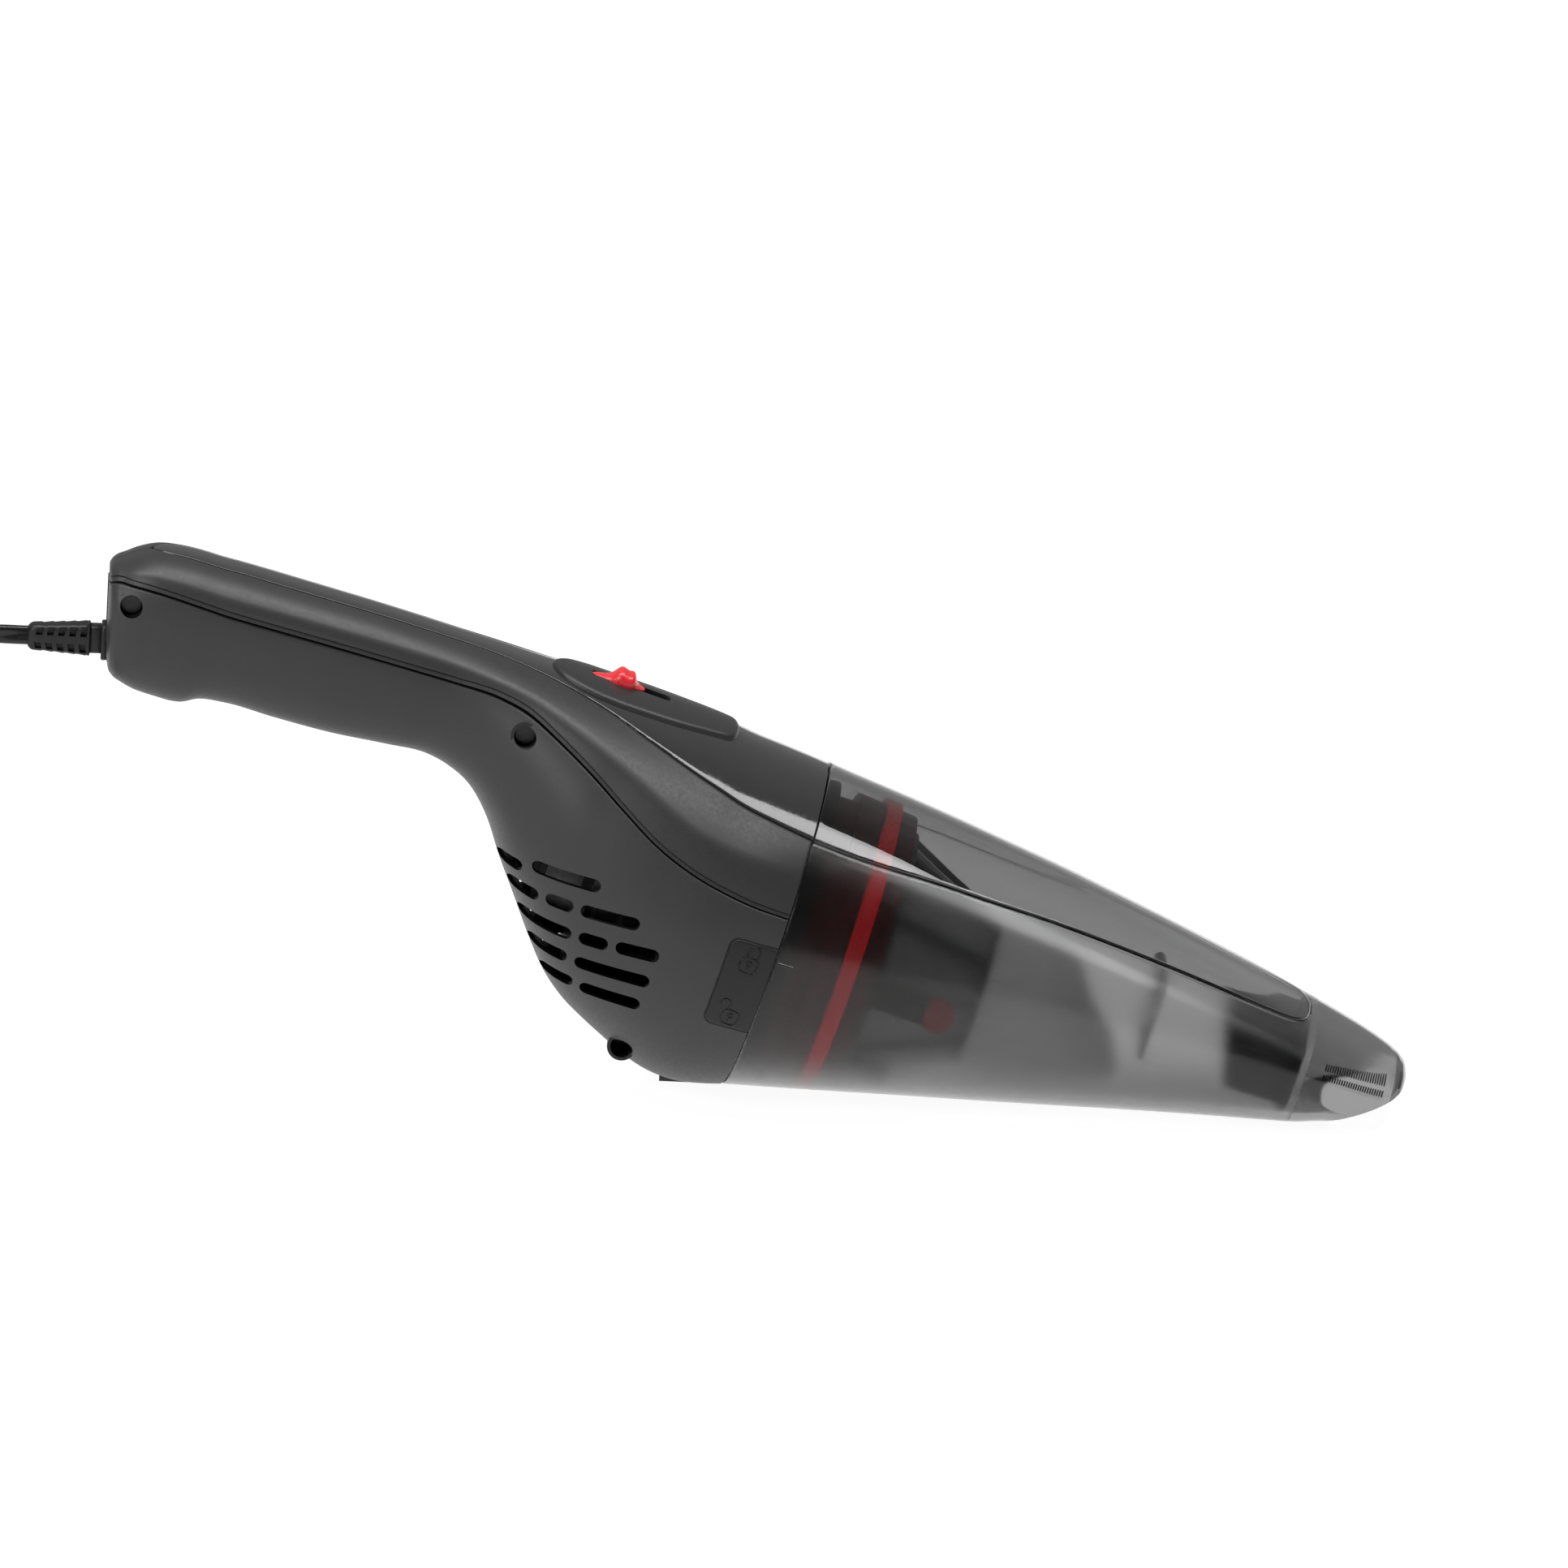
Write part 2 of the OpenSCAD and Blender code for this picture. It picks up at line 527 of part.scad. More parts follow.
module switch_terminals() {
  color([0.8, 0.65, 0.3]) axis() for (x = [-77, -66, -55])
    box([x - 1.6, x + 1.6], [-0.4, 0.4], [27.5, 33.95]);
}

/* Wiring */
// Tube through a list of points
module wire(path, r, m = 8) {
  n = len(path);
  function dir(i) = let (d = path[min(n - 1, i + 1)] - path[max(0, i - 1)]) d / norm(d);
  function frame(i) = let (d = dir(i), s = cross(d, abs(d[1]) > 0.9 ? [1, 0, 0] : [0, 1, 0]))
    [s / norm(s), cross(d, s / norm(s))];
  rings = [for (i = [0 : n - 1]) let (f = frame(i)) [for (k = [0 : m - 1])
    path[i] + r * (f[0] * cos(-360 * k / m) + f[1] * sin(-360 * k / m))]];
  ring_solid(rings);
}
function lerp(a, b, t) = a + (b - a) * t;
function bezier(a, b, c, d, n) = [for (i = [0 : n]) let (t = i / n)
  a * pow(1 - t, 3) + b * 3 * t * pow(1 - t, 2) + c * 3 * t * t * (1 - t) + d * pow(t, 3)];
module live_wires() {
  color([0.7, 0.08, 0.08]) axis() {
    wire(bezier([-198.5, -1.6, 27.2], [-150, -4, 34], [-110, -3, 30], [-78.6, -1.8, 29.5], 16), 1.0);
    wire(bezier([-64, -1.8, 29.5], [-70, -13, 24], [-88, -14, 18], [-83.5, -10.8, 0], 16), 1.0);
  }
}
module return_wire() {
  color([0.1, 0.1, 0.1]) axis()
    wire(bezier([-198.5, 1.6, 27.2], [-150, 4, 31], [-92, 15, 34], [-83.6, 10.8, 0], 16), 1.0);
}
module at_clamp() {
  translate([joint_forward - rear_face + 13, 0, lead_height]) children();
}
module cord_clamp() {
  color([0.12, 0.12, 0.12]) at_clamp() difference() {
    for (s = [-1, 1]) translate([-3.5, -9, s * (lead_w / 2 + 1.6) - 1.5]) cube([7, 18, 3]);
    for (s = [-1, 1]) translate([0, s * 6, -10]) cylinder(r = 1.6, h = 20, $fn = 24);
  }
}
module clamp_screws() {
  color([0.6, 0.6, 0.62]) at_clamp() for (s = [-1, 1]) translate([0, s * 6, 0]) {
    translate([0, 0, lead_w / 2 + 3.15]) cylinder(r = 2.6, h = 1.6, $fn = 24);
    translate([0, 0, -7]) cylinder(r = 1.5, h = 13.2, $fn = 24);
  }
}

/* Filter */
// Flat web between the band and a round opening
module band_plate(x, r) {
  difference() {
    ring_solid([for (u = [x, x + 1.6]) ring(row_at(bowl_rows, u), bowl_wall + 3, 40)]);
    rod(x - 1, x + 3, r);
  }
}
module filter_frame() {
  rows = [for (u = [band_rear, 16, 20, 25, band_front]) row_at(bowl_rows, u)];
  lip = [20.4, 25.2];
  outer = [for (r = rows) [for (p = ring(r, bowl_wall + 2.3, 40)) p]];
  inner = [for (r = rows) [for (p = ring(r, bowl_wall + 4.5, 40)) p]];
  color([0.75, 0.05, 0.08]) axis() {
    difference() {
      ring_solid(outer);
      ring_solid([for (k = [0 : 4]) [for (p = inner[k]) p + [k == 0 ? -1 : k == 4 ? 1 : 0, 0, 0]]]);
    }
    difference() {
      ring_solid([for (u = lip) ring(row_at(bowl_rows, u), bowl_wall + 0.35, 40)]);
      ring_solid([for (u = [lip[0] - 1, lip[1] + 1]) ring(row_at(bowl_rows, u), bowl_wall + 3, 40)]);
    }
    band_plate(band_rear, 41.2);
    tube(-1.2, band_rear + 1, 43.4, 41.2);
    band_plate(band_front - 1.6, 38.2);
    for (s = [-1, 1]) scale([1, s, 1]) {
      box([band_front - 1, 53], [42.2, 43.8], [-4, 4]);
      translate([53, 43.8, 0]) rotate([90, 0, 0]) cylinder(r = 5.4, h = 1.6, $fn = 40);
      low_tab(0);
    }
  }
}
// Lower tab of the filter frame, with room around it when grown
module low_tab(grow) {
  rotate([-50, 0, 0]) {
    box([band_front - 1, 46], [36.6 - grow, 38.2 + grow], [-4.4 - grow, 4.4 + grow]);
    box([band_front - 1.2, band_front - 0.1], [36.6, 40], [-4.4, 4.4]);
  }
}
module screen_cage() {
  n = 10;
  r0 = 39.9;
  r1 = 22;
  color([0.14, 0.13, 0.13]) axis() {
    difference() {
      tube(band_front + 0.1, band_front + 2.2, r0, r0 - 2.4);
      for (s = [-1, 1]) scale([1, s, 1]) low_tab(0.3);
    }
    tube(screen_front - 1.8, screen_front, r1 + 0.6, 3);
    for (k = [0 : n - 1]) rotate([360 * (k + 0.5) / n, 0, 0])
      translate([band_front + 0.2, 0, r0 - 1.6])
        rotate([0, atan((r0 - r1) / (screen_front - band_front)), 0])
          box([0, 40.4], [-0.9, 0.9], [-0.9, 1.2]);
  }
}
module screen_mesh() {
  h = screen_front - band_front - 4.4;
  color([0.3, 0.3, 0.3]) axis() translate([band_front + 2.4, 0, 0]) rotate([0, 90, 0]) difference() {
    cylinder(r1 = 35.8, r2 = 20.1, h = h, $fn = 72);
    translate([0, 0, -0.01]) cylinder(r1 = 35.4, r2 = 19.7, h = h + 0.02, $fn = 72);
  }
}
function star(ro, ri) = [for (k = [0 : 2 * pleats - 1]) let (r = k % 2 == 0 ? ro : ri)
  [r * cos(180 * k / pleats), r * sin(180 * k / pleats)]];
module filter_cloth() {
  color([0.85, 0.84, 0.8]) axis() translate([6, 0, 0]) rotate([0, 90, 0]) {
    linear_extrude(50) difference() {
      polygon(star(19.4, 14.6));
      polygon(star(18.6, 13.9));
    }
    translate([0, 0, 49]) cylinder(r = 19.6, h = 1.4, $fn = 64);
    difference() {
      cylinder(r = 41.0, h = 1.4, $fn = 96);
      translate([0, 0, -1]) cylinder(r = 14.6, h = 4, $fn = 64);
    }
  }
}
module filter_seal() {
  color([0.07, 0.07, 0.07]) axis() translate([1.6, 0, 0]) rotate([0, 90, 0]) rotate_extrude($fn = 96)
    translate([43.45, 0]) square([1.35, 2.4]);
}

/* Dust bowl */
module mouth_cut() {
  translate([mouth_start, -50, -0.6]) rotate([0, -mouth_slope, 0])
    translate([-60, 0, -40]) cube([140, 100, 40]);
}
module dust_bowl() {
  fine = 44;
  inner_rows = [for (r = bowl_rows) if (r[0] < 195) r];
  inner = concat([for (r = inner_rows) ring(r, bowl_wall, fine)],
                 [ring([196.4, 17.4, 7.4, 20, 2.6, 0], 1.4, fine)]);
  outer = [for (r = bowl_rows) ring(r, 0, fine)];
  n = len(outer);
  k = len(inner);
  m = fine;
  off = n * m;
  pts = concat([for (r = outer) each r], [for (r = inner) each r], [[199.9, 0, 14], [196.8, 0, 12.4]]);
  faces = concat(
    [for (i = [0 : n - 2], j = [0 : m - 1]) let (a = (j + 1) % m)
      each [[i * m + j, (i + 1) * m + a, i * m + a], [i * m + j, (i + 1) * m + j, (i + 1) * m + a]]],
    [for (i = [0 : k - 2], j = [0 : m - 1]) let (a = (j + 1) % m)
      each [[off + i * m + j, off + i * m + a, off + (i + 1) * m + a],
            [off + i * m + j, off + (i + 1) * m + a, off + (i + 1) * m + j]]],
    [for (j = [0 : m - 1]) let (a = (j + 1) % m) each [[j, a, off + a], [j, off + a, off + j]]],
    [for (j = [0 : m - 1]) let (a = (j + 1) % m, b = (n - 1) * m) [b + a, b + j, off + k * m]],
    [for (j = [0 : m - 1]) let (a = (j + 1) % m, b = off + (k - 1) * m) [b + j, b + a, off + k * m + 1]]);
  color([0.45, 0.46, 0.48, 0.45]) axis() {
    difference() {
      polyhedron(points = pts, faces = faces, convexity = 10);
      mouth_cut();
    }
    for (a = [50, 170, 290]) rotate([a, 0, 0]) box([1.4, 4.6], [-2.6, 2.6], [49.0, 50.8]);
    for (s = [-1, 1]) box([0.6, 7], [s * 51.9 - 0.5, s * 51.9 + 0.5], [1.4, 3]);
  }
}
module bowl_window() {
  rows = [for (u = [0.6, 8, 24, 40, 60, 80, 100, 120, 140, 155, 160, 163.4, 165]) row_at(bowl_rows, u)];
  line = [[0, 35.0], [24, 34.6], [40, 33.4], [60, 31.6], [80, 29.8], [100, 27.6], [120, 25.4], [140, 22.6],
          [155, 19.6], [160, 16.6], [163.4, 12], [165, 4]];
  color([0.5, 0.51, 0.53, 0.4]) axis() patch(rows, line, -0.6, -0.15, 12, 0);
}
module inlet_duct() {
  color([0.2, 0.2, 0.21]) axis() difference() {
    union() {
      box([120, 166], [-24, 24], [1.6, 20.6]);
      difference() {
        ring_solid([for (u = [163, 165]) ring(row_at(bowl_rows, u), bowl_wall + 0.3, 40)]);
        box([160, 168], [-23, 23], [2.6, 19.6]);
      }
      for (s = [-1, 1]) box([115.4, 121], [s * 22.6 - 1.4, s * 22.6 + 1.4], [17.2, 25.2]);
    }
    box([110, 170], [-22.8, 22.8], [2.8, 19.4]);
    across(117.6, 22.9, -30, 30, 1.25);
    box([114, 119.6], [-21.2, 21.2], [18, 27]);
  }
}
module flap_pin() {
  color([0.7, 0.7, 0.72]) axis() across(117.6, 22.9, -24, 24, 1.15);
}
module inlet_flap() {
  color([0.05, 0.05, 0.05]) axis() difference() {
    union() {
      box([117.4, 119.2], [-20.8, 20.8], [1.2, 22.9]);
      across(117.6, 22.9, -20.8, 20.8, 2.1);
      box([116.2, 117.6], [-14, 14], [5, 16]);
    }
    across(117.6, 22.9, -30, 30, 1.2);
  }
}

/* Lead, coil and plug */
module strain_relief() {
  z = lead_height;
  x0 = joint_forward - rear_face;
  color([0.06, 0.06, 0.06]) difference() {
    union() {
      translate([x0 - 2.2, 0, z]) rotate([0, 90, 0]) scale([1, 0.8, 1]) cylinder(r = 6.4, h = 2.1, $fn = 48);
      translate([x0 - 0.2, 0, z]) rotate([0, 90, 0]) cylinder(r = 4.6, h = 7, $fn = 48);
      translate([x0 + 3.6, 0, z]) rotate([0, 90, 0]) cylinder(r = 6.6, h = 2.6, $fn = 48);
      translate([tip_x, -3.3, z - 4.4]) cube([relief_len - 2, 6.6, 8.8]);
    }
    for (k = [0 : 4]) translate([x0 - 6.4 - 3.4 * k, 0, z]) {
      translate([-0.9, -5, -3]) cube([1.8, 2.9, 6]);
      translate([-0.9, 2.1, -3]) cube([1.8, 2.9, 6]);
    }
    translate([tip_x - 1, -lead_t / 2 - 0.05, z - lead_w / 2 - 0.05])
      cube([relief_len + 10, lead_t + 0.1, lead_w + 0.1]);
  }
}
lead_path = concat(
  [[joint_forward - rear_face + 24, 0, lead_height], [joint_forward - rear_face - 2, 0, lead_height]],
  [for (k = [0 : 9]) [tip_x - lead_straight - drop_r * sin(10 * k), 0,
    lead_height - drop_r * (1 - cos(10 * k))]],
  [for (k = [0 : 3]) [drop_x, 0, lerp(lead_height - drop_r - 4, coil_top + 48, k / 3)]],
  [for (k = [1 : 12]) let (t = 90 * k / 12, s = 44 * (1 - cos(t)), f = s / coil_r * 180 / PI)
    [coil_x + coil_r * cos(f), coil_r * sin(f), coil_top + lead_w / 2 + 0.1 + 44 * (1 - sin(t))]],
  [for (k = [1 : 6]) let (f = 63 + 14 * k)
    [coil_x + coil_r * cos(f), coil_r * sin(f), coil_top + lead_w / 2 + 0.1]]);
floor_z = lead_w / 2 + 0.05;
tail_path = concat(
  [for (k = [0 : 4]) [tail_x, 8 - 5 * k, floor_z]],
  [for (k = [1 : 12]) let (r = (tail_x - plug_x) / 2)
    [plug_x + r + r * cos(15 * k), -12 - r * sin(15 * k), floor_z]],
  [for (k = [1 : 8]) let (t = min(1, k / 6.4))
    [plug_x, lerp(-12, plug_y + 8, k / 8), lerp(floor_z, plug_r, t * t * (3 - 2 * t))]]);
// Flat twin lead along a path: two lobes side by side
module twin_lead(path) {
  n = len(path);
  function dir(i) = let (d = path[min(n - 1, i + 1)] - path[max(0, i - 1)]) d / norm(d);
  function up(i) = let (d = dir(i), s = cross(d, [0, 1, 0])) norm(s) > 0.3 ? s / norm(s) : [0, 0, 1];
  m = 12;
  rings = [for (i = [0 : n - 1]) let (d = dir(i), v = up(i), h0 = cross(d, v), h = h0 / norm(h0))
    [for (k = [0 : m - 1]) let (t = -360 * k / m)
      path[i] + v * (lead_w / 2 * cos(t)) * (abs(cos(t)) < 0.1 ? 0.9 : 1) + h * (lead_t / 2 * sin(t))
      * (abs(cos(t)) < 0.1 ? 0.78 : 1)]];
  ring_solid(rings);
}
module lead() {
  color([0.05, 0.05, 0.05]) {
    twin_lead(lead_path);
    twin_lead(tail_path);
  }
}
module lead_coil() {
  color([0.05, 0.05, 0.05]) difference() {
    translate([coil_x, 0, bundle_h]) rotate_extrude($fn = 72)
      translate([coil_r, 0]) scale([bundle_w, bundle_h]) circle(r = 1, $fn = 20);
    tie_band(1.5, 0.05);
  }
}
// Band round the bundle, which it squeezes a little
module tie_band(out, gap) {
  translate([coil_x - 3 - gap, -coil_r, bundle_h]) rotate([90, 0, 90])
    linear_extrude(6 + 2 * gap) difference() {
      scale([bundle_w + out, bundle_h + max(0, out - 0.6)]) circle(r = 1, $fn = 40);
      scale([bundle_w - 0.3 - gap, bundle_h - 0.9 - gap]) circle(r = 1, $fn = 40);
    }
}
module lead_tie() {
  color([0.12, 0.12, 0.12]) tie_band(0.6, 0);
}
module on_plug() {
  translate([plug_x, plug_y, plug_r]) rotate([-90, 0, 0]) children();
}
module plug_boot() {
  color([0.06, 0.06, 0.06]) on_plug() difference() {
    cylinder(r1 = 4.6, r2 = 6.4, h = 16, $fn = 48);
    translate([0, 0, -1]) cylinder(r = 3.4, h = 12, $fn = 32);
  }
}
module plug_body() {
  color([0.09, 0.09, 0.09]) on_plug() difference() {
    rotate_extrude($fn = 72) polygon([[0, 16.1], [8.2, 16.1], [9.8, 18.5], [10.4, 26], [plug_r, 34], [10.2, 52],
      [9.9, 54.2], [0, 54.2]]);
    for (k = [0 : 5]) rotate([0, 0, 60 * k]) translate([12.6, 0, 20]) cylinder(r = 3, h = 26, $fn = 24);
    translate([0, 0, 30]) cylinder(r = 7.2, h = 40, $fn = 48);
  }
}
module plug_lens() {
  color([0.8, 0.1, 0.1]) on_plug() translate([0, 0, 54.3]) difference() {
    cylinder(r = 9.9, h = 2, $fn = 64);
    translate([0, 0, -1]) cylinder(r = 7.2, h = 4, $fn = 48);
  }
}
module plug_nose() {
  color([0.09, 0.09, 0.09]) on_plug() difference() {
    rotate_extrude($fn = 64) polygon([[0, 56.4], [9.7, 56.4], [9.5, 78], [8.6, 80.5], [0, 80.5]]);
    translate([0, 0, 50]) cylinder(r = 6.6, h = 29, $fn = 48);
    translate([0, 0, 70]) cylinder(r = 3.7, h = 20, $fn = 32);
    for (s = [-1, 1]) translate([s * 9 - 1.8, -2.6, 60]) cube([3.6, 5.2, 16]);
  }
}
module plug_cap() {
  color([0.72, 0.72, 0.74]) on_plug() translate([0, 0, 80.6]) difference() {
    cylinder(r1 = 8.4, r2 = 7.0, h = 2.6, $fn = 48);
    translate([0, 0, -1]) cylinder(r = 3.7, h = 5, $fn = 32);
  }
}
module plug_tip() {
  color([0.8, 0.68, 0.4]) on_plug() rotate_extrude($fn = 32)
    polygon([[0, 74.4], [5.8, 74.4], [5.8, 76], [3.5, 76.4], [3.5, 86.4], [2.4, 88], [0, 88.6]]);
}
module plug_spring() {
  color([0.7, 0.7, 0.72]) on_plug() for (k = [0 : 3]) translate([0, 0, 66.8 + 1.1 * k]) rotate_extrude($fn = 32)
    translate([4.6, 0]) circle(r = 0.45, $fn = 8);
}
module plug_fuse() {
  color([0.85, 0.88, 0.9]) on_plug() {
    translate([0, 0, 34.2]) cylinder(r = 3.1, h = 6, $fn = 32);
    translate([0, 0, 39]) cylinder(r = 2.8, h = 22, $fn = 32);
    translate([0, 0, 60]) cylinder(r = 3.1, h = 6, $fn = 32);
  }
}
module side_contacts() {
  color([0.75, 0.75, 0.77]) on_plug() for (s = [-1, 1]) translate([s * 8.5 - 0.5, -2.2, 60.4])
    cube([1.0, 4.4, 15.2]);
}

right_housing();
left_housing();
top_cover();
spine_panel();
switch_pad();
lock_panel();
foot();
housing_screws();
bowl_spigot();
fan_guard();
fan_housing();
motor_plate();
motor_screws();
impeller();
shaft();
fan_nut();
motor_can();
bushes();
magnets();
armature();
windings();
commutator();
brushes();
brush_arms();
motor_end_cap();
capacitor();
motor_cradle();
motor_grommet();
switch_slider();
slider_carrier();
switch_body();
switch_toggle();
switch_terminals();
live_wires();
return_wire();
cord_clamp();
clamp_screws();
filter_frame();
screen_cage();
screen_mesh();
filter_cloth();
filter_seal();
dust_bowl();
bowl_window();
inlet_duct();
flap_pin();
inlet_flap();
strain_relief();
lead();
lead_coil();
lead_tie();
plug_boot();
plug_body();
plug_lens();
plug_nose();
plug_cap();
plug_tip();
plug_spring();
plug_fuse();
side_contacts();
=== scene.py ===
"""Corded handheld vacuum cleaner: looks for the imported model.

Lengths below are millimetres unless a name says otherwise. Most pieces are drawn in the
motor axis frame: u along the motor axis from the bowl joint, y sideways, w across it.
"""
import json
from math import acos, asin, atan2, ceil, copysign, cos, hypot, pi, radians, sin, sqrt, tan, tau

import bmesh
import bpy
from mathutils import Matrix, Vector
from mathutils.bvhtree import BVHTree


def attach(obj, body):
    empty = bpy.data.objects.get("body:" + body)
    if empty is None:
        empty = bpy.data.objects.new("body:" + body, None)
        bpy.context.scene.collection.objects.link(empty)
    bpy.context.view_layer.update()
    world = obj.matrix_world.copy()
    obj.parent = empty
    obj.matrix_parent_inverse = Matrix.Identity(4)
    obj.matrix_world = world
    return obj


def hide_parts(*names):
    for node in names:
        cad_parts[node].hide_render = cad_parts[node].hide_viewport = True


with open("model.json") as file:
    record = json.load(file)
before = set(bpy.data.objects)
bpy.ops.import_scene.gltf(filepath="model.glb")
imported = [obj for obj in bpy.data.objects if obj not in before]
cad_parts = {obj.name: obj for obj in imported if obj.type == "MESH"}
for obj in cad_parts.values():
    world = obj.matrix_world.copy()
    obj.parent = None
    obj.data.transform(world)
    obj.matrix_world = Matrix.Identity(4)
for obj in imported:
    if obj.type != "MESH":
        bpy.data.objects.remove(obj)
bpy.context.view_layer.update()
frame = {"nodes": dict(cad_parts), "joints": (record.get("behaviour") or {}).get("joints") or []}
NODES = frame["nodes"]
MM = 0.001

twist_joint = next(j for j in frame["joints"] if j["name"] == "bowl_twist")
JOINT = Vector(twist_joint["pos_m"])
TILT = atan2(-twist_joint["axis"][2], twist_joint["axis"][0])
AXIS = Matrix.Translation(JOINT) @ Matrix.Rotation(TILT, 4, "Y") @ Matrix.Scale(MM, 4)
WORLD = Matrix.Scale(MM, 4)

# ---------------------------------------------------------------- driving sizes
# Walls of the housing and the bowl, the gap of the side seam, and the depth of the spine's recess
WALL = 2.4
BOWL_WALL = 2.2
SEAM_GAP = 0.36
SPINE_DEPTH = 1.8
# The nose and its lip are drawn darker than the rest of the bowl: painted shade in the thick clear nose.
# The window's raised height and front end, and where the nose and its dark lip begin
WINDOW_PROUD = 0.6
WINDOW_END = 165.0
NOSE_START = 167.5
LIP_START = 195.5
# One plane cuts the mouth: where it meets the lower edge, its slope in degrees, the bevel of its rim
MOUTH_START = 174.0
MOUTH_SLOPE = 34.0
MOUTH_BEVEL = 0.45
# Along the filter frame: the two ends of the bright ring, and where the arms and the tabs start
RING_ENDS = (20, 25.6)
ARMS_START = 31.2
TABS_START = 46.2
# Where the inlet duct turns from clear to dark, in metres along X
DUCT_CLEAR = 0.160
# World places of the handle's rear face and the relief's tip, the lead's exit height and its section
REAR_FACE = -191.15
TIP_X = -215.55
LEAD_HEIGHT = 132.8
LEAD_W = 6.0
LEAD_T = 3.1

# Outlines: along, top, bottom, half width, squareness, lean
HOUSING = [
    (-226.76, 42.5, 15.0, 8.5, 3.0, 1), (-226.4, 42.9, 14.0, 11.2, 2.9, 1),
    (-225.7, 43.6, 12.0, 13.9, 2.8, 1), (-224.2, 45.0, 10.3, 16.3, 2.7, 1),
    (-221.8, 46.6, 9.3, 17.8, 2.6, 1), (-218, 49.4, 8.4, 18.7, 2.6, 1),
    (-213, 52.6, 8.2, 19.1, 2.6, 0.85), (-208, 54.1, 8.3, 19.4, 2.6, 0.65),
    (-202, 54.9, 8.5, 19.5, 2.6, 0.4),
    (-197, 55.0, 9.4, 19.5, 2.6, 0.15), (-192, 55.3, 11.8, 19.4, 2.6, 0),
    (-184, 55.6, 13.3, 19.3, 2.6, 0), (-168, 56.1, 13.8, 19.1, 2.6, 0),
    (-150, 56.6, 14.8, 19.0, 2.6, 0), (-132, 56.8, 17.0, 19.4, 2.55, 0),
    (-120, 56.8, 18.2, 20.0, 2.5, 0), (-112, 56.7, 16.8, 21.7, 2.5, 0),
    (-104, 56.6, 13.2, 24.3, 2.45, 0), (-96, 56.5, 5.6, 28.0, 2.38, 0),
    (-88, 56.5, -5.4, 32.7, 2.31, 0), (-80, 56.5, -15.5, 37.2, 2.24, 0),
    (-72, 56.4, -25.8, 41.5, 2.17, 0), (-64, 56.3, -35.0, 44.8, 2.13, 0),
    (-56, 56.1, -41.4, 47.7, 2.1, 0), (-48, 55.8, -45.7, 50.0, 2.07, 0),
    (-40, 55.5, -49.4, 51.7, 2.04, 0), (-32, 55.0, -52.9, 53.2, 2.02, 0),
    (-24, 54.0, -55.2, 54.2, 2, 0), (-14, 53.3, -55.6, 54.2, 2, 0),
    (-6, 52.7, -53.9, 53.2, 2, 0), (-0.4, 52.2, -52.2, 52.2, 2, 0)]
BOWL = [
    (0, 52.0, -52.0, 52.0, 2, 0), (8, 51.2, -49.9, 51.7, 2, 0), (24, 49.6, -45.4, 51.0, 2.05, 0),
    (40, 47.8, -40.8, 50.2, 2.1, 0), (60, 45.3, -35.2, 48.4, 2.15, 0), (80, 42.4, -29.3, 46.5, 2.3, 0),
    (100, 39.1, -23.4, 44.0, 2.45, 0), (120, 35.7, -17.5, 41.5, 2.6, 0), (140, 31.9, -11.7, 38.6, 2.85, 0),
    (160, 28.0, -6.2, 35.8, 3.1, 0), (170, 26.0, -3.4, 34.4, 3.2, 0), (178, 24.2, -0.5, 33.0, 3.2, 0),
    (184, 22.8, 0.6, 31.8, 3.2, 0), (190, 21.4, 1.8, 29.8, 3.0, 0), (194, 20.4, 3.0, 27.0, 2.8, 0),
    (197, 19.4, 5.0, 22.5, 2.6, 0), (198.8, 18.2, 8.0, 16.0, 2.4, 0), (199.6, 16.8, 11.0, 8.0, 2.2, 0)]
# Height of the side seam, height of the soft ridge above it, and how far that ridge stands proud
SEAM = [(-232, 38.9), (-226.8, 39.3), (-224, 41.0), (-218, 42.3), (-190, 43.3), (-156, 44.6),
        (-120, 46.0), (-105, 46.6), (-95, 45.4), (-85, 42.1), (-72, 36.8), (-58.5, 30.1), (-45, 23.8),
        (-32, 19.8), (-20, 17.6), (-12, 16.6), (0, 15.9)]
RIDGE = [(-228, 41.0), (-224, 43.3), (-218, 45.0), (-190, 46.9), (-163, 48.1), (-111, 49.7), (-97, 49.2),
         (-84, 46.9), (-59.5, 39.4), (-35, 30.0), (-15, 28.0), (0, 27.8)]
PROUD = [(-228, 0.2), (-220, 0.8), (-190, 1.3), (-120, 1.4), (-90, 1.8), (-60, 2.4), (-30, 2.5),
         (-12, 1.9), (0, 0.7)]
# Half widths in plan
SPINE = [(-216, 4.0), (-206, 6.4), (-190, 7.0), (-130, 7.0), (-111, 7.2), (-104, 8.2), (-93, 10.8),
         (-84, 14.0), (-70, 19.4), (-58, 24.6), (-46, 29.0), (-33, 32.6), (-21, 34.6), (-10, 35.4),
         (0, 35.4)]
PAD = [(-91.5, 0.8), (-91.0, 3.4), (-90.0, 5.6), (-88, 8.6), (-84, 11.6), (-78, 14.0), (-70, 15.2),
       (-60, 15.3), (-50, 14.6), (-42, 13.2), (-36, 11.8), (-33, 10.8), (-31.6, 9.6), (-30.8, 7.4),
       (-30.4, 4.0), (-30.2, 0.8)]
WINDOW = [(0, 35.2), (24, 34.8), (40, 33.6), (60, 31.8), (80, 29.9), (100, 27.7), (120, 25.3),
          (140, 22.6), (152, 20.4), (157, 19.0), (160.5, 17.0), (162.8, 13.8), (164.2, 9.6), (165, 4.0)]
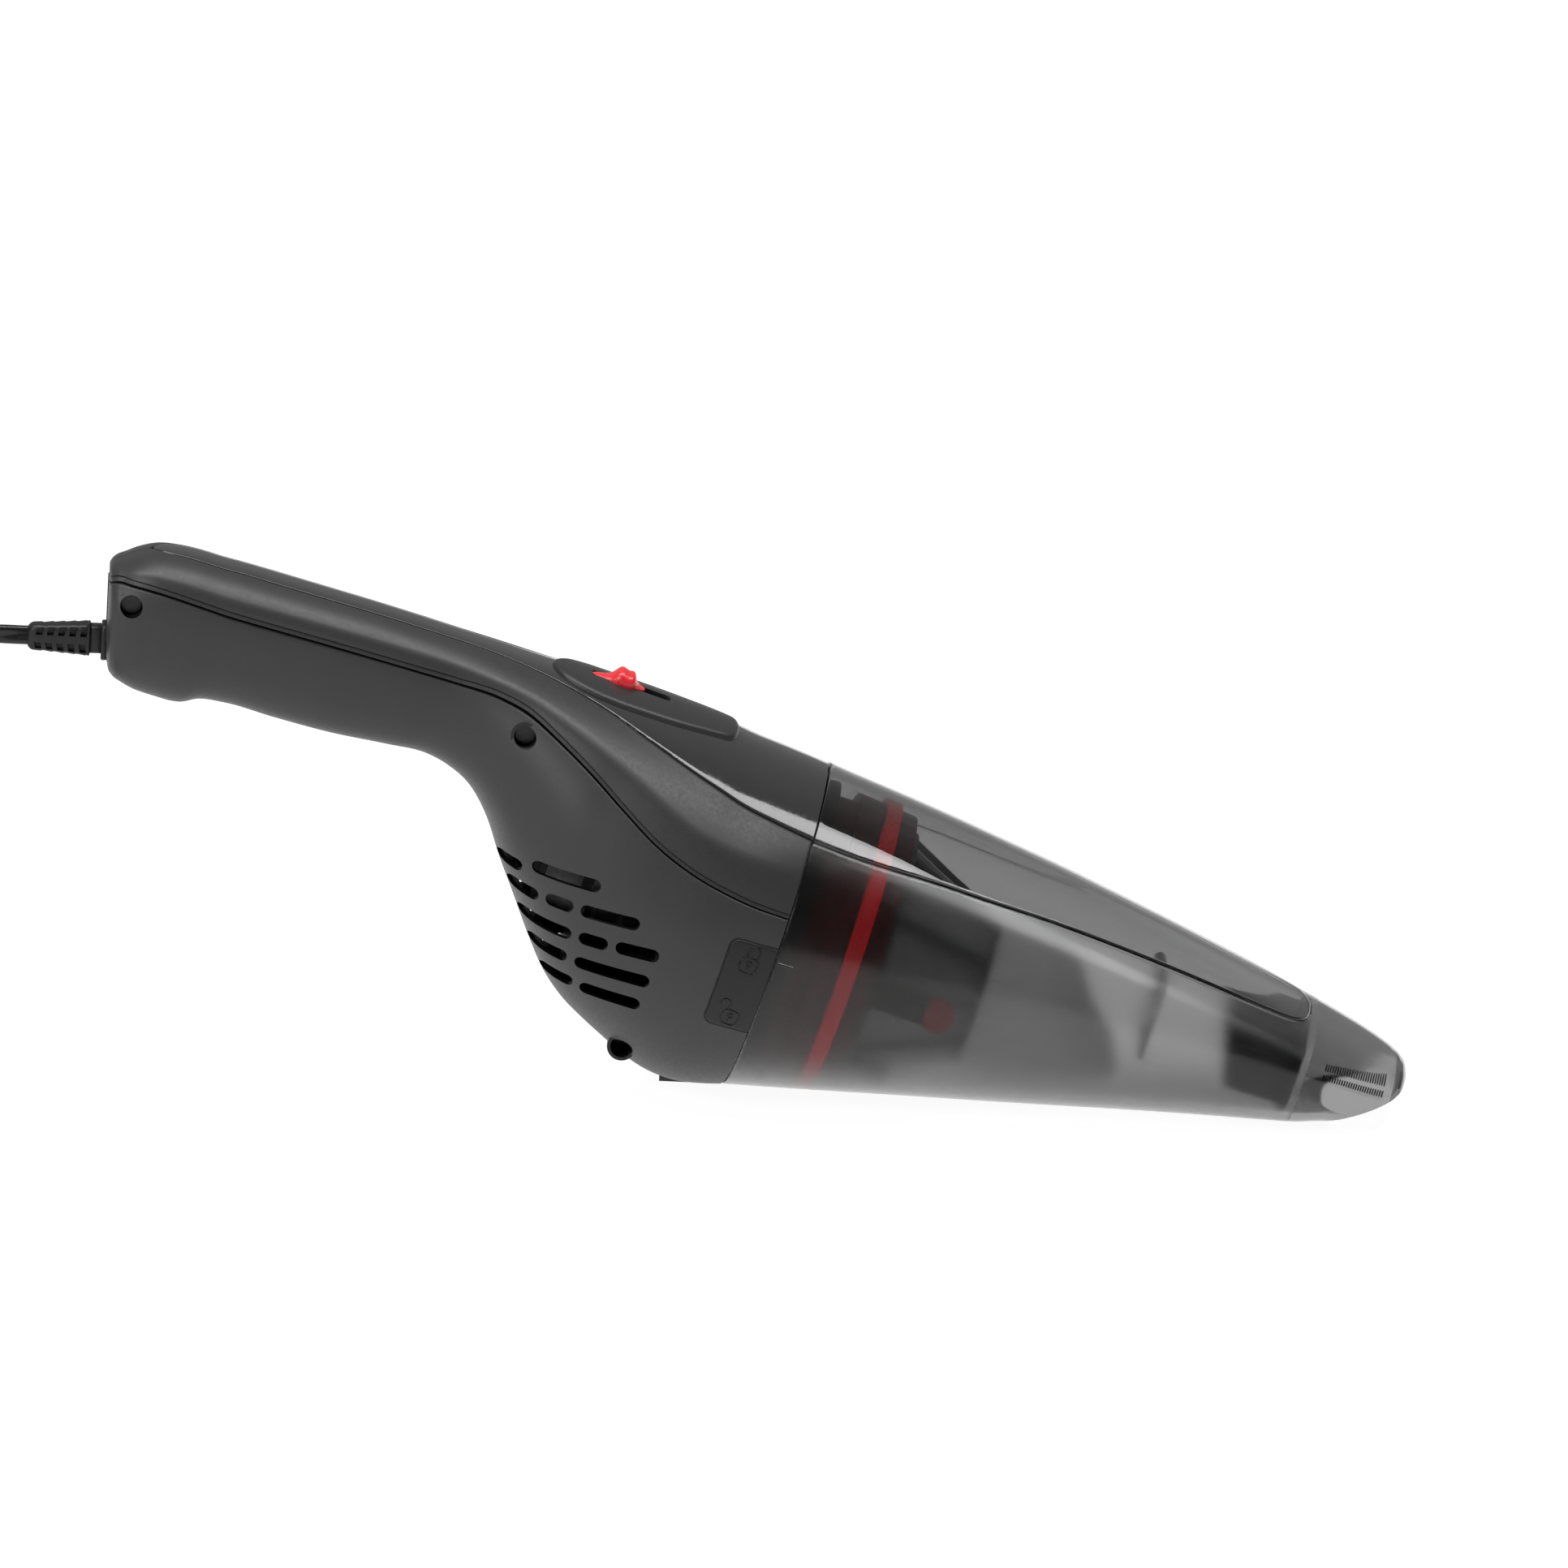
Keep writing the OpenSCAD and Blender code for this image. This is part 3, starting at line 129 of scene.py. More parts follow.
# Exhaust slots: rear end, front end, height at mid length
VENTS = [(-90, -81.7, -0.7), (-79.7, -58, 4.6), (-84.5, -74.3, -6.9), (-72.5, -63.7, -4.3),
         (-61.7, -43.1, -1.7), (-78.6, -61.3, -14.0), (-59.3, -50.1, -11.3), (-48.0, -34.3, -8.8),
         (-72.7, -60.0, -22.0), (-57.9, -34.3, -18.9), (-66.2, -55.5, -29.8), (-53.5, -34.5, -27.5)]
# Slope of the slots in degrees, and their height
VENT_SLOPE = 9
VENT_HEIGHT = 4.2
# Screw recesses: along, height, and how far the screw stands to the side
SCREWS = [(-221.5, 36.6, 15.2), (-94.1, 39.0, 25.0), (-34.0, -46.2, 12.6)]
RECESS_R = 3.5
# Switch slot: rear end, front end, half width
SLOT = (-79.0, -53.5, 2.6)


# ---------------------------------------------------------------- outline helpers
def spow(v, e):
    return copysign(abs(v) ** e, v)


def clamp(v, low=0.0, high=1.0):
    return max(low, min(high, v))


def ease(t):
    return t * t * (3 - 2 * t)


def turns(n):
    """Angles of n even steps round a circle."""
    return [tau * k / n for k in range(n)]


def circle(r, n):
    return [(r * cos(t), r * sin(t)) for t in turns(n)]


def arc(cx, cz, r, a0, a1, n=14):
    """n + 1 points of an arc between two angles in degrees."""
    angles = [radians(a0 + (a1 - a0) * k / n) for k in range(n + 1)]
    return [(cx + r * cos(a), cz + r * sin(a)) for a in angles]


def rounded_rect(w, h, r, n=4):
    x, y = w / 2 - r, h / 2 - r
    corners = ((x, y, 0), (-x, y, 90), (-x, -y, 180), (x, -y, 270))
    return [p for cx, cy, a0 in corners for p in arc(cx, cy, r, a0, a0 + 90, n)]


def distances(points):
    """Running length along a line of points."""
    run = [0.0]
    for p, q in zip(points, points[1:]):
        run.append(run[-1] + (q - p).length)
    return run


def smooth(table, x, col=1):
    """Smooth curve through the rows of a table, level beyond its ends."""
    if x <= table[0][0]:
        return table[0][col]
    if x >= table[-1][0]:
        return table[-1][col]
    i = next(k for k in range(len(table) - 1) if table[k + 1][0] >= x)

    def slope(k):
        a, b = table[max(0, k - 1)], table[min(len(table) - 1, k + 1)]
        if k in (0, len(table) - 1):
            return (b[col] - a[col]) / (b[0] - a[0])
        h0, h1 = table[k][0] - a[0], b[0] - table[k][0]
        d0, d1 = (table[k][col] - a[col]) / h0, (b[col] - table[k][col]) / h1
        return (d0 * h1 + d1 * h0) / (h0 + h1)

    p, q = table[i], table[i + 1]
    h = q[0] - p[0]
    t = (x - p[0]) / h
    m0, m1 = slope(i) * h, slope(i + 1) * h
    return ((2 * t**3 - 3 * t**2 + 1) * p[col] + (t**3 - 2 * t**2 + t) * m0
            + (3 * t**2 - 2 * t**3) * q[col] + (t**3 - t**2) * m1)


class Section:
    """One cross-section of an outline."""

    def __init__(self, rows, u):
        self.u = u
        self.top, self.bottom, self.half, self.square, self.lean = (smooth(rows, u, c) for c in range(1, 6))
        self.mid = (self.top + self.bottom) / 2

    def at(self, ang, inset=0.0, side=1):
        """Point at an angle (radians) from the sideways direction, moved inwards by inset."""
        a = (self.top - self.bottom) / 2 - inset
        w = self.mid + a * spow(sin(ang), 2 / self.square)
        y = side * (self.half - inset) * spow(cos(ang), 2 / self.square)
        return Vector((self.u - tan(TILT) * self.lean * (w - self.mid), y, w))

    def ang_w(self, w, inset=0.0):
        a = (self.top - self.bottom) / 2 - inset
        return asin(spow(clamp((w - self.mid) / a, -0.985, 0.985), self.square / 2))

    def at_height(self, w, inset, side):
        return self.at(self.ang_w(w), inset, side)

    def ang_y(self, y, inset=0.0):
        return acos(spow(clamp(y / (self.half - inset), 0.0, 0.98), self.square / 2))

    def even(self, a0, a1, n, lift=None, side=1, inset=0.0):
        """n + 1 points evenly spread along the surface between two angles."""
        fine = 96
        angs = [a0 + (a1 - a0) * k / fine for k in range(fine + 1)]
        pts = [self.at(a, inset, side) for a in angs]
        run = distances(pts)
        out, k = [], 0
        for j in range(n + 1):
            s = run[-1] * j / n
            while k < fine - 1 and run[k + 1] < s:
                k += 1
            t = (s - run[k]) / max(1e-9, run[k + 1] - run[k])
            a = angs[k] + (angs[k + 1] - angs[k]) * t
            out.append(self.at(a, inset - (lift(self, a) if lift else 0.0), side))
        return out


def stations(start, end, step):
    """Evenly spaced places, about one step apart."""
    n = max(1, round((end - start) / step))
    return sorted(set([round(start + (end - start) * k / n, 3) for k in range(n + 1)]))


# ---------------------------------------------------------------- mesh helpers
def add_object(name, data):
    obj = bpy.data.objects.new(name, data)
    bpy.context.scene.collection.objects.link(obj)
    return obj


def raw_object(name, shape, matrix):
    """Object from a shape, which is a list of points and a list of faces."""
    points, faces = shape
    mesh = bpy.data.meshes.new(name)
    mesh.from_pydata([matrix @ Vector(p) for p in points], [], faces)
    return add_object(name, mesh)


def edit_mesh(obj, change=None):
    """Makes one change to a mesh and turns its faces outwards."""
    bm = bmesh.new()
    bm.from_mesh(obj.data)
    if change:
        change(bm)
    bmesh.ops.recalc_face_normals(bm, faces=bm.faces)
    bm.to_mesh(obj.data)
    bm.free()


def shade(obj, sharp):
    """Smooth shading except at edges sharper than an angle in degrees."""
    obj.data.shade_smooth()
    obj.data.set_sharp_from_angle(angle=radians(sharp))


def merge_points(bm):
    bmesh.ops.remove_doubles(bm, verts=bm.verts, dist=2e-6)
    bmesh.ops.dissolve_degenerate(bm, edges=bm.edges, dist=1e-6)


def new_piece(name, shape, replaces=(), body="housing", matrix=AXIS, sharp=40):
    obj = raw_object(name, shape, matrix)
    edit_mesh(obj, merge_points)
    shade(obj, sharp)
    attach(obj, body)
    if replaces:
        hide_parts(*replaces)
    return obj


def grid_faces(n, m, base=0, wrap=False, loop=False):
    """Quads of n rows of m points. wrap closes each row, loop joins the last row to the first."""
    return [(base + i * m + j, base + i * m + (j + 1) % m,
             base + (i + 1) % n * m + (j + 1) % m, base + (i + 1) % n * m + j)
            for i in range(n if loop else n - 1) for j in range(m if wrap else m - 1)]


def grid_solid(outer, inner, wrap=False):
    """Points and faces of a closed wall between two grids of the same shape."""
    n, m = len(outer), len(outer[0])
    off = n * m
    pts = [p for row in outer + inner for p in row]
    faces = grid_faces(n, m, 0, wrap) + grid_faces(n, m, off, wrap)
    if not wrap:
        for i in range(n - 1):
            for j in (0, m - 1):
                faces.append((i * m + j, (i + 1) * m + j, off + (i + 1) * m + j, off + i * m + j))
    for j in range(m if wrap else m - 1):
        k = (j + 1) % m
        for b in (0, (n - 1) * m):
            faces.append((b + j, b + k, off + b + k, off + b + j))
    return pts, faces


def rings_solid(rings, closed_ends=True):
    """Solid through rings with the same number of points."""
    n, m = len(rings), len(rings[0])
    faces = grid_faces(n, m, 0, True)
    if closed_ends:
        faces += [tuple(range(m)), tuple((n - 1) * m + k for k in range(m))]
    return [p for ring in rings for p in ring], faces


def sweep(path, outline, hint, closed_ends=True):
    """Tube along a path. outline: (across, up) pairs; hint(i) gives the up direction."""
    rings = []
    for i, p in enumerate(path):
        d = (path[min(len(path) - 1, i + 1)] - path[max(0, i - 1)]).normalized()
        up = hint(i)
        up = (up - d * up.dot(d)).normalized()
        side = d.cross(up)
        rings.append([p + side * a + up * b for a, b in outline])
    return rings_solid(rings, closed_ends)


def prism(outline, y0, y1):
    """Solid through (along, height) points, from one distance to the side to another."""
    n = len(outline)
    faces = [tuple(range(n)), tuple(range(n, 2 * n))]
    faces += [(k, (k + 1) % n, n + (k + 1) % n, n + k) for k in range(n)]
    return [(u, y, w) for y in (y0, y1) for u, w in outline], faces


def joined(parts):
    """One list of points and faces from several."""
    pts, faces = [], []
    for p, f in parts:
        base = len(pts)
        pts += list(p)
        faces += [tuple(base + k for k in face) for face in f]
    return pts, faces


def cut(obj, shape, matrix=AXIS):
    """Cuts a piece with a throwaway solid and keeps the shading of the uncut surface."""
    cutter = raw_object("cutter", shape, matrix)
    edit_mesh(cutter)
    smooth_tree = BVHTree.FromObject(obj, bpy.context.evaluated_depsgraph_get())
    source = obj.data.copy()
    mod = obj.modifiers.new("cut", "BOOLEAN")
    mod.object = cutter
    mod.operation = "DIFFERENCE"
    mod.solver = "EXACT"
    deps = bpy.context.evaluated_depsgraph_get()
    mesh = bpy.data.meshes.new_from_object(obj.evaluated_get(deps))
    obj.modifiers.clear()
    obj.data = mesh
    bpy.data.objects.remove(cutter)
    keep_shading(obj, source, smooth_tree)


def keep_shading(obj, source, tree):
    """Gives each corner the normal of the surface that it came from."""
    mesh = obj.data
    mesh.shade_smooth()
    corner = [c.vector.copy() for c in source.corner_normals]
    normals = [Vector() for _ in mesh.loops]
    for poly in mesh.polygons:
        for li in poly.loop_indices:
            co = mesh.vertices[mesh.loops[li].vertex_index].co
            near, _, index, dist = tree.find_nearest(co + poly.normal * 2e-5)
            normals[li] = poly.normal.copy()
            if index is None or dist > 4e-5 + 2e-5:
                continue
            face = source.polygons[index]
            if face.normal.dot(poly.normal) < 0.8:
                continue
            total = Vector()
            for lj in face.loop_indices:
                v = source.vertices[source.loops[lj].vertex_index].co
                total += corner[lj] / max(1e-6, (v - near).length) ** 2
            normals[li] = total.normalized()
    mesh.normals_split_custom_set(normals)


# ---------------------------------------------------------------- camera
VIEW_TILT = radians(16)
VIEW_ROLL = radians(2.5)
VIEW_CENTRE = Vector((19.34, 0, 95.66)) * MM
VIEW_WIDTH = 483 * MM

forward = Vector((0, cos(VIEW_TILT), -sin(VIEW_TILT)))
level_up = Vector((0, sin(VIEW_TILT), cos(VIEW_TILT)))
cam_right = Vector((1, 0, 0)) * cos(VIEW_ROLL) + level_up * sin(VIEW_ROLL)
cam_up = level_up * cos(VIEW_ROLL) - Vector((1, 0, 0)) * sin(VIEW_ROLL)
camera_data = bpy.data.cameras.new("camera")
camera_data.type = "ORTHO"
camera_data.ortho_scale = VIEW_WIDTH
camera_data.clip_end = 20
camera = add_object("camera", camera_data)
rot = Matrix((cam_right, cam_up, -forward)).transposed().to_4x4()
camera.matrix_world = Matrix.Translation(VIEW_CENTRE - forward * 2.0) @ rot
bpy.context.scene.camera = camera

# ---------------------------------------------------------------- lead
# Level run behind the relief, radius of the bend down, and radius of the coil
LEAD_STRAIGHT = 12
DROP_R = 26
COIL_R = 37
# Half width and half height of the coil's bundle, rise between its layers, and spread of the layers
BUNDLE_W = 12.5
BUNDLE_H = 10.5
LAYER_RISE = 6.15
NARROW = 8.2
WIDE = 10.9
# Points of the route on each turn
STEPS = 18
# Radius of the plug and its place to the side, the start of the tail, and the bend onto the coil
PLUG_R = 10.6
PLUG_Y = 22
TAIL_Y = -12
LAND = 44
# Direction of the lead's width at distances from its exit: it makes half twists on the way down
LEAD_TURNS = [(-30, (0, 0, 1)), (-2, (0, 0.45, 1)), (6, (0, 0.1, 1)), (11, (0, -0.3, 1)),
              (30, (0, -1, 0.15)), (70, (0, -1, 0)), (110, (1, -0.4, 0)),
              (130, (1, 0, 0)), (200, (1, 0, 0.4)), (250, (0, 0, 1))]
drop_x = TIP_X - LEAD_STRAIGHT - DROP_R
coil_x = drop_x - COIL_R
tail_x = coil_x - COIL_R - BUNDLE_W - 1.8
plug_x = tail_x - 50
land_z = 2 * BUNDLE_H + LEAD_W / 2 + 0.1
floor_z = LEAD_W / 2 + 0.05


def ring_point(r, turn, z):
    """Point of the coil at a radius and a count of turns from the +X side."""
    a = tau * turn
    return Vector((coil_x + r * cos(a), r * sin(a), z))


def coil_layer(turn0, turns, r0, r1, z):
    count = round(turns * STEPS)
    return [(turn0 + turns * k / count, r0 + (r1 - r0) * k / count, z) for k in range(1, count + 1)]


def eased(a, b, n):
    """Change of layer over part of a turn: from (turn, radius, height) a to b."""
    out = []
    for k in range(1, n + 1):
        t = k / n
        s = ease(t)
        out.append((a[0] + (b[0] - a[0]) * t, a[1] + (b[1] - a[1]) * s, a[2] + (b[2] - a[2]) * s))
    return out


def lead_route():
    """Middle line: level exit, drop, landing on the coil, three layers, and the tail to the plug."""
    xs = (REAR_FACE - 2, TIP_X + 12, TIP_X, TIP_X - 4, TIP_X - 8, TIP_X - 12)
    route = [Vector((x, 0, LEAD_HEIGHT)) for x in xs]
    for k in range(1, 10):
        a = radians(10 * k)
        x = TIP_X - LEAD_STRAIGHT - DROP_R * sin(a)
        route.append(Vector((x, 0, LEAD_HEIGHT - DROP_R * (1 - cos(a)))))
    high, low = LEAD_HEIGHT - DROP_R, land_z + LAND
    for k in range(1, 5):
        route.append(Vector((drop_x, 0, high + (low - high) * k / 4)))
    for k in range(1, 13):
        t = radians(90 * k / 12)
        s = LAND * (1 - cos(t))
        route.append(ring_point(COIL_R, s / COIL_R / tau, land_z + LAND * (1 - sin(t))))
    turn = LAND / COIL_R / tau
    z_top, z_mid, z_low = BUNDLE_H + LAYER_RISE, BUNDLE_H, BUNDLE_H - LAYER_RISE
    spots = eased((turn, COIL_R, land_z), (turn + 0.28, COIL_R, land_z), 6)
    spots += eased(spots[-1], (turn + 0.9, COIL_R - NARROW, z_top), 14)
    spots += coil_layer(spots[-1][0], 5.0, COIL_R - NARROW, COIL_R + NARROW, z_top)
    spots += eased(spots[-1], (spots[-1][0] + 0.5, COIL_R + WIDE, z_mid), 9)
    spots += coil_layer(spots[-1][0], 6.9, COIL_R + WIDE, COIL_R - WIDE, z_mid)
    spots += eased(spots[-1], (spots[-1][0] + 0.5, COIL_R - NARROW, z_low), 9)
    end = ceil(spots[-1][0] + 5) + 0.4
    spots += coil_layer(spots[-1][0], end - spots[-1][0], COIL_R - NARROW, COIL_R + 9.4, z_low)
    spots += eased(spots[-1], (end + 0.075, COIL_R + BUNDLE_W + 1.5, floor_z), 3)
    route += [ring_point(r, t, z) for t, r, z in spots]
    route += [Vector((tail_x, y, floor_z)) for y in (3, -2, -7, TAIL_Y)]
    r = (tail_x - plug_x) / 2
    for k in range(1, 13):
        a = radians(15 * k)
        route.append(Vector((plug_x + r + r * cos(a), TAIL_Y - r * sin(a), floor_z)))
    for k in range(1, 9):
        t = k / 8
        z = floor_z + (PLUG_R - floor_z) * ease(min(1, t * 1.25))
        route.append(Vector((plug_x, TAIL_Y + (PLUG_Y + 8 - TAIL_Y) * t, z)))
    return route


route = lead_route()
run = distances(route)
exit_at = (route[0] - Vector((TIP_X, 0, LEAD_HEIGHT))).length


def lead_up(i):
    """Direction of the lead's width at a point of its route."""
    s = run[i] - exit_at
    for (a, va), (b, vb) in zip(LEAD_TURNS, LEAD_TURNS[1:]):
        if s <= b:
            t = max(0.0, (s - a) / (b - a))
            return Vector(va).normalized().lerp(Vector(vb).normalized(), t)
    return Vector((0, 0, 1))


def refine(points, parts):
    """Smooth curve through the points, each span cut into parts."""
    out = []
    n = len(points)
    for i in range(n - 1):
        p0, p1, p2, p3 = (points[max(0, i - 1)], points[i], points[i + 1], points[min(n - 1, i + 2)])
        for k in range(parts):
            t = k / parts
            out.append(0.5 * ((2 * p1) + (p2 - p0) * t + (2 * p0 - 5 * p1 + 4 * p2 - p3) * t * t
                              + (3 * p1 - p0 - 3 * p2 + p3) * t**3))
    return out + [points[-1]]


def twin_section(n=7):
    """Two round cores side by side, the wide way along the second number."""
    r, c = LEAD_T / 2, LEAD_W / 2 - LEAD_T / 2
    return [(s * x, s * y) for s in (1, -1) for x, y in arc(0, c, r, -40, 220, n)]


def fine_up(i):
    return (lead_up(i // 2) + lead_up(min(len(route) - 1, (i + 1) // 2))).normalized()


lead = new_piece("lead_cord", sweep(refine(route, 2), twin_section(), fine_up),
                 ("lead", "lead_coil"), matrix=WORLD, sharp=60)


def band(r_out, r_in, height_out, height_in, half, n=48):
    """Flat loop round the coil's bundle."""
    edge = [(x, r_out - dr, height_out - dr)
            for x, dr in ((-half, 0.35), (-half + 0.5, 0), (half - 0.5, 0), (half, 0.35))]
    edge += [(half, r_in, height_in), (-half, r_in, height_in)]
    pts = [Vector((x, ry * cos(t), rz * sin(t))) for x, ry, rz in edge for t in turns(n)]
    return pts, grid_faces(len(edge), n, 0, True, True)


tie_place = Matrix.Translation(Vector((coil_x, -COIL_R, BUNDLE_H)) * MM) @ WORLD
tie_band = band(BUNDLE_W + 1.3, BUNDLE_W + 0.5, BUNDLE_H, BUNDLE_H - 0.8, 3)
tie_head = rings_solid([[Vector((x * s, BUNDLE_W + 1.2 + y, z * s)) for x, z in rounded_rect(8, 6, 1.2)]
                        for y, s in ((-0.4, 0.94), (0.2, 1), (2.4, 1), (2.9, 0.9))])
tie = new_piece("coil_tie", joined([tie_band, tie_head]), ("lead_tie",), matrix=tie_place)

# ---------------------------------------------------------------- housing halves
SECTIONS = {}


def section(rows, u):
    key = (id(rows), round(u, 4))
    if key not in SECTIONS:
        SECTIONS[key] = Section(rows, u)
    return SECTIONS[key]


BODY_US = (stations(-226.76, -224.2, 0.16) + stations(-223.7, -219.2, 0.5) + stations(-218.4, -208, 0.8)
           + stations(-206.8, -190, 1.2) + stations(-188, -3, 1.85) + [-1.6, -1.0, -0.72, -0.5, -0.42])
# Rounding of the front edge, and steps that draw the rear face in to the middle
FRONT_INSET = {-0.72: 0.03, -0.5: 0.14, -0.42: 0.36}
CAP_STEPS = (0.0, 0.12, 0.3, 0.5, 0.72, 0.9)


def rear_plane(w):
    """Where the flat rear face is at a height across the axis."""
    first = section(HOUSING, BODY_US[0])
    return first.u - tan(TILT) * (w - first.mid)


def with_cap(rows, thickness):
    """Adds the flat rear face by drawing the first row in to the middle plane."""
    cap = []
    for k in CAP_STEPS:
        cap.append([Vector((rear_plane(p.z) + thickness, p.y * k, p.z)) for p in rows[0]])
    if thickness:
        rows = [[Vector((max(p.x, rear_plane(p.z) + thickness), p.y, p.z)) for p in row] for row in rows]
    return cap + rows


def half_shell(side):
    main = 46
    rim = ((0.34, 0.05), (0.14, 0.17), (0.03, 0.36), (0.0, 0.62), (0.0, 1.5))
    outer, inner = [], []
    for u in BODY_US:
        sec = section(HOUSING, u)
        top = smooth(SEAM, u) - SEAM_GAP / 2
        extra = FRONT_INSET.get(u, 0.0)
        row = sec.even(-pi / 2, sec.ang_w(top - 0.6, extra), main, side=side, inset=extra)
        row += [sec.at(sec.ang_w(top - dz, e + extra), e + extra, side) for dz, e in rim]
        end = sec.ang_w(top, WALL)
        deep = sec.even(-pi / 2, end, main, side=side, inset=WALL)
        deep += [deep[-1].copy() for _ in rim]
        for p in row + deep:
            p.y = side * max(side * p.y, 0.07)
        outer.append(row)
        inner.append(deep)
    return grid_solid(with_cap(outer, 0), with_cap(inner, WALL))


def vent_cutters(side):
    """All exhaust slots of one side."""
    parts = []
    c, s = cos(radians(VENT_SLOPE)), sin(radians(VENT_SLOPE))
    r = VENT_HEIGHT / 2
    for u0, u1, w in VENTS:
        level = [(end * x, end * z) for end in (1, -1) for x, z in arc((u1 - u0) / 2 - r, 0, r, -90, 90, 12)]
        outline = [((u0 + u1) / 2 + x * c - z * s, w + x * s + z * c) for x, z in level]
        parts.append(prism(outline, side * 8, side * 62))
    return parts


halves = {}
for side, node in ((-1, "right_housing"), (1, "left_housing")):
    halves[side] = new_piece(node + "_shell", half_shell(side), (node,), sharp=42)
    parts = vent_cutters(side)
    if side < 0:
        parts += [prism([(u + x, w + z) for x, z in circle(RECESS_R, 36)], -62, -reach + 3.2)
                  for u, w, reach in SCREWS]
    cut(halves[side], joined(parts))

# Wells that the screws sit in, behind the round recesses of the right half
# The wells are drawn black: painted shade in the screw recesses.
parts = []
for u, w, reach in SCREWS:
    wall_y = -section(HOUSING, u).at_height(w, 1.2, 1).y
    rim_y, seat_y = -reach + 3.2, -reach + 3.4
    profile = ((wall_y, RECESS_R), (wall_y, 4.5), (seat_y, 4.5), (seat_y, 3.0), (rim_y, 3.0),
               (rim_y, RECESS_R))
    pts = [Vector((u + x, y, w + z)) for y, r in profile for x, z in circle(r, 36)]
    parts.append((pts, grid_faces(len(profile), 36, 0, True, True)))
wells = new_piece("screw_wells", joined(parts))


# ---------------------------------------------------------------- top cover and spine panel
SPINE_TIP = -214.6


def spine_half(u):
    tip = clamp((u - SPINE_TIP) / 6.5)
    return max(0.06, smooth(SPINE, u) * sqrt(1 - (1 - tip) ** 2))


def spine_depth(u):
    t = clamp((u - SPINE_TIP + 0.2) / 0.8)
    return 0.02 + (SPINE_DEPTH - 0.02) * ease(t)


def bulge(u, w, edge_w):
    """How far the cover stands proud: a straight lower facet up to the soft ridge, fading to the spine."""
    low, ridge, proud = smooth(SEAM, u), smooth(RIDGE, u), smooth(PROUD, u)
    if w <= ridge:
        return proud * max(0.0, (w - low) / (ridge - low))
    return proud * max(0.0, 1 - (w - ridge) / max(1.0, edge_w - ridge)) ** 1.15


def cover_lift(u, edge_w):
    def lift(sec, ang):
        w = sec.at(ang).z
        spread = 0.4 + 0.03 * max(0.0, smooth(RIDGE, u) - smooth(SEAM, u))
        return sum(bulge(u, w + spread * k, edge_w) for k in (-3, -2, -1, 0, 1, 2, 3)) / 7
    return lift


def cover_side(u, side):
    sec = section(HOUSING, u)
    base = smooth(SEAM, u) + SEAM_GAP / 2
    hw, depth = spine_half(u), spine_depth(u)
    extra = FRONT_INSET.get(u, 0.0)
    edge_w = sec.at(sec.ang_y(hw)).z
    lift = cover_lift(u, edge_w)
    start = lift(sec, sec.ang_w(base + 1.7))
    rim = ((0, 2.2), (0, 0.8), (0.05, 0.42), (0.2, 0.3), (1.12, 0.28), (1.18, 0.5), (1.34, 0.5), (1.4, 0.18),
           (1.52, 0.03))
    row = [sec.at(sec.ang_w(base + dz, e + extra), e + extra - start, side) for dz, e in rim]
    row += sec.even(sec.ang_w(base + 1.7, extra), sec.ang_y(hw + min(0.5, hw)), 40, lift, side, extra)
    share = depth / SPINE_DEPTH
    for dy, e in ((0.24, 0.05), (0.07, 0.18), (0.0, 0.4), (0.0, SPINE_DEPTH)):
        row.append(sec.at(sec.ang_y(hw + min(dy, hw)), e * share + extra * (e < 1), side))
    row += sec.even(sec.ang_y(hw * 0.97), pi / 2, 5, None, side, depth)
    deep = sec.even(sec.ang_w(base, 3.0), pi / 2, len(row) - 1, None, side, 3.0)
    return row, deep


outer, inner = [], []
for u in BODY_US:
    right, right_deep = cover_side(u, -1)
    left, left_deep = cover_side(u, 1)
    outer.append(right + left[-2::-1])
    inner.append(right_deep + left_deep[-2::-1])
cover_shape = grid_solid(with_cap(outer, 0), with_cap(inner, WALL))
cover = new_piece("top_cover_shell", cover_shape, ("top_cover",), sharp=42)


def slot_cutter():
    """Upright cutter for the switch slot."""
    u0, u1, half = SLOT
    outline = [((u0 + u1) / 2 + x, y) for x, y in rounded_rect(u1 - u0, 2 * half, 1.2, 5)]
    points, faces = prism(outline, 46, 66)
    return [(u, y, z) for u, z, y in points], faces


cut(cover, slot_cutter())


def to_outline(outline, u, v):
    """Distance from a point to an open outline given as one side of a mirrored shape."""
    best = 1e9
    for (a, b), (c, d) in zip(outline, outline[1:]):
        dx, dy = c - a, d - b
        t = clamp(((u - a) * dx + (v - b) * dy) / (dx * dx + dy * dy))
        best = min(best, hypot(u - a - dx * t, v - b - dy * t))
    return best


def on_top(u, v, h):
    sec = section(HOUSING, u)
    return sec.at(sec.ang_y(abs(v)), -h, 1 if v >= 0 else -1)


def on_right(u, v, h):
    return section(HOUSING, u).at_height(v, -h, -1)


def raised_patch(place, us, half, height, depth, cols, open_front=False):
    """Thin plate that follows a surface. half(u) gives its half width, height(d) its height at a
    distance d from the outline. An open front has no rolled edge there."""
    outline = [(us[0], 0.0)] + [(u, half(u)) for u in us]
    outline.append((us[-1] + 9, half(us[-1])) if open_front else (us[-1], 0.0))
    top, bottom = [], []
    for u in us:
        spread = [-half(u) * cos(pi * j / cols) for j in range(cols + 1)]
        top.append([place(u, v, height(to_outline(outline, u, abs(v)))) for v in spread])
        bottom.append([place(u, v, -depth) for v in spread])
    return grid_solid(top, bottom)


def rolled(high, width, low):
    """Height profile of a plate whose edge rolls over."""
    def height(d):
        t = max(0.0, 1 - d / width)
        return low + (high - low) * sqrt(max(0.0, 1 - t * t))
    return height


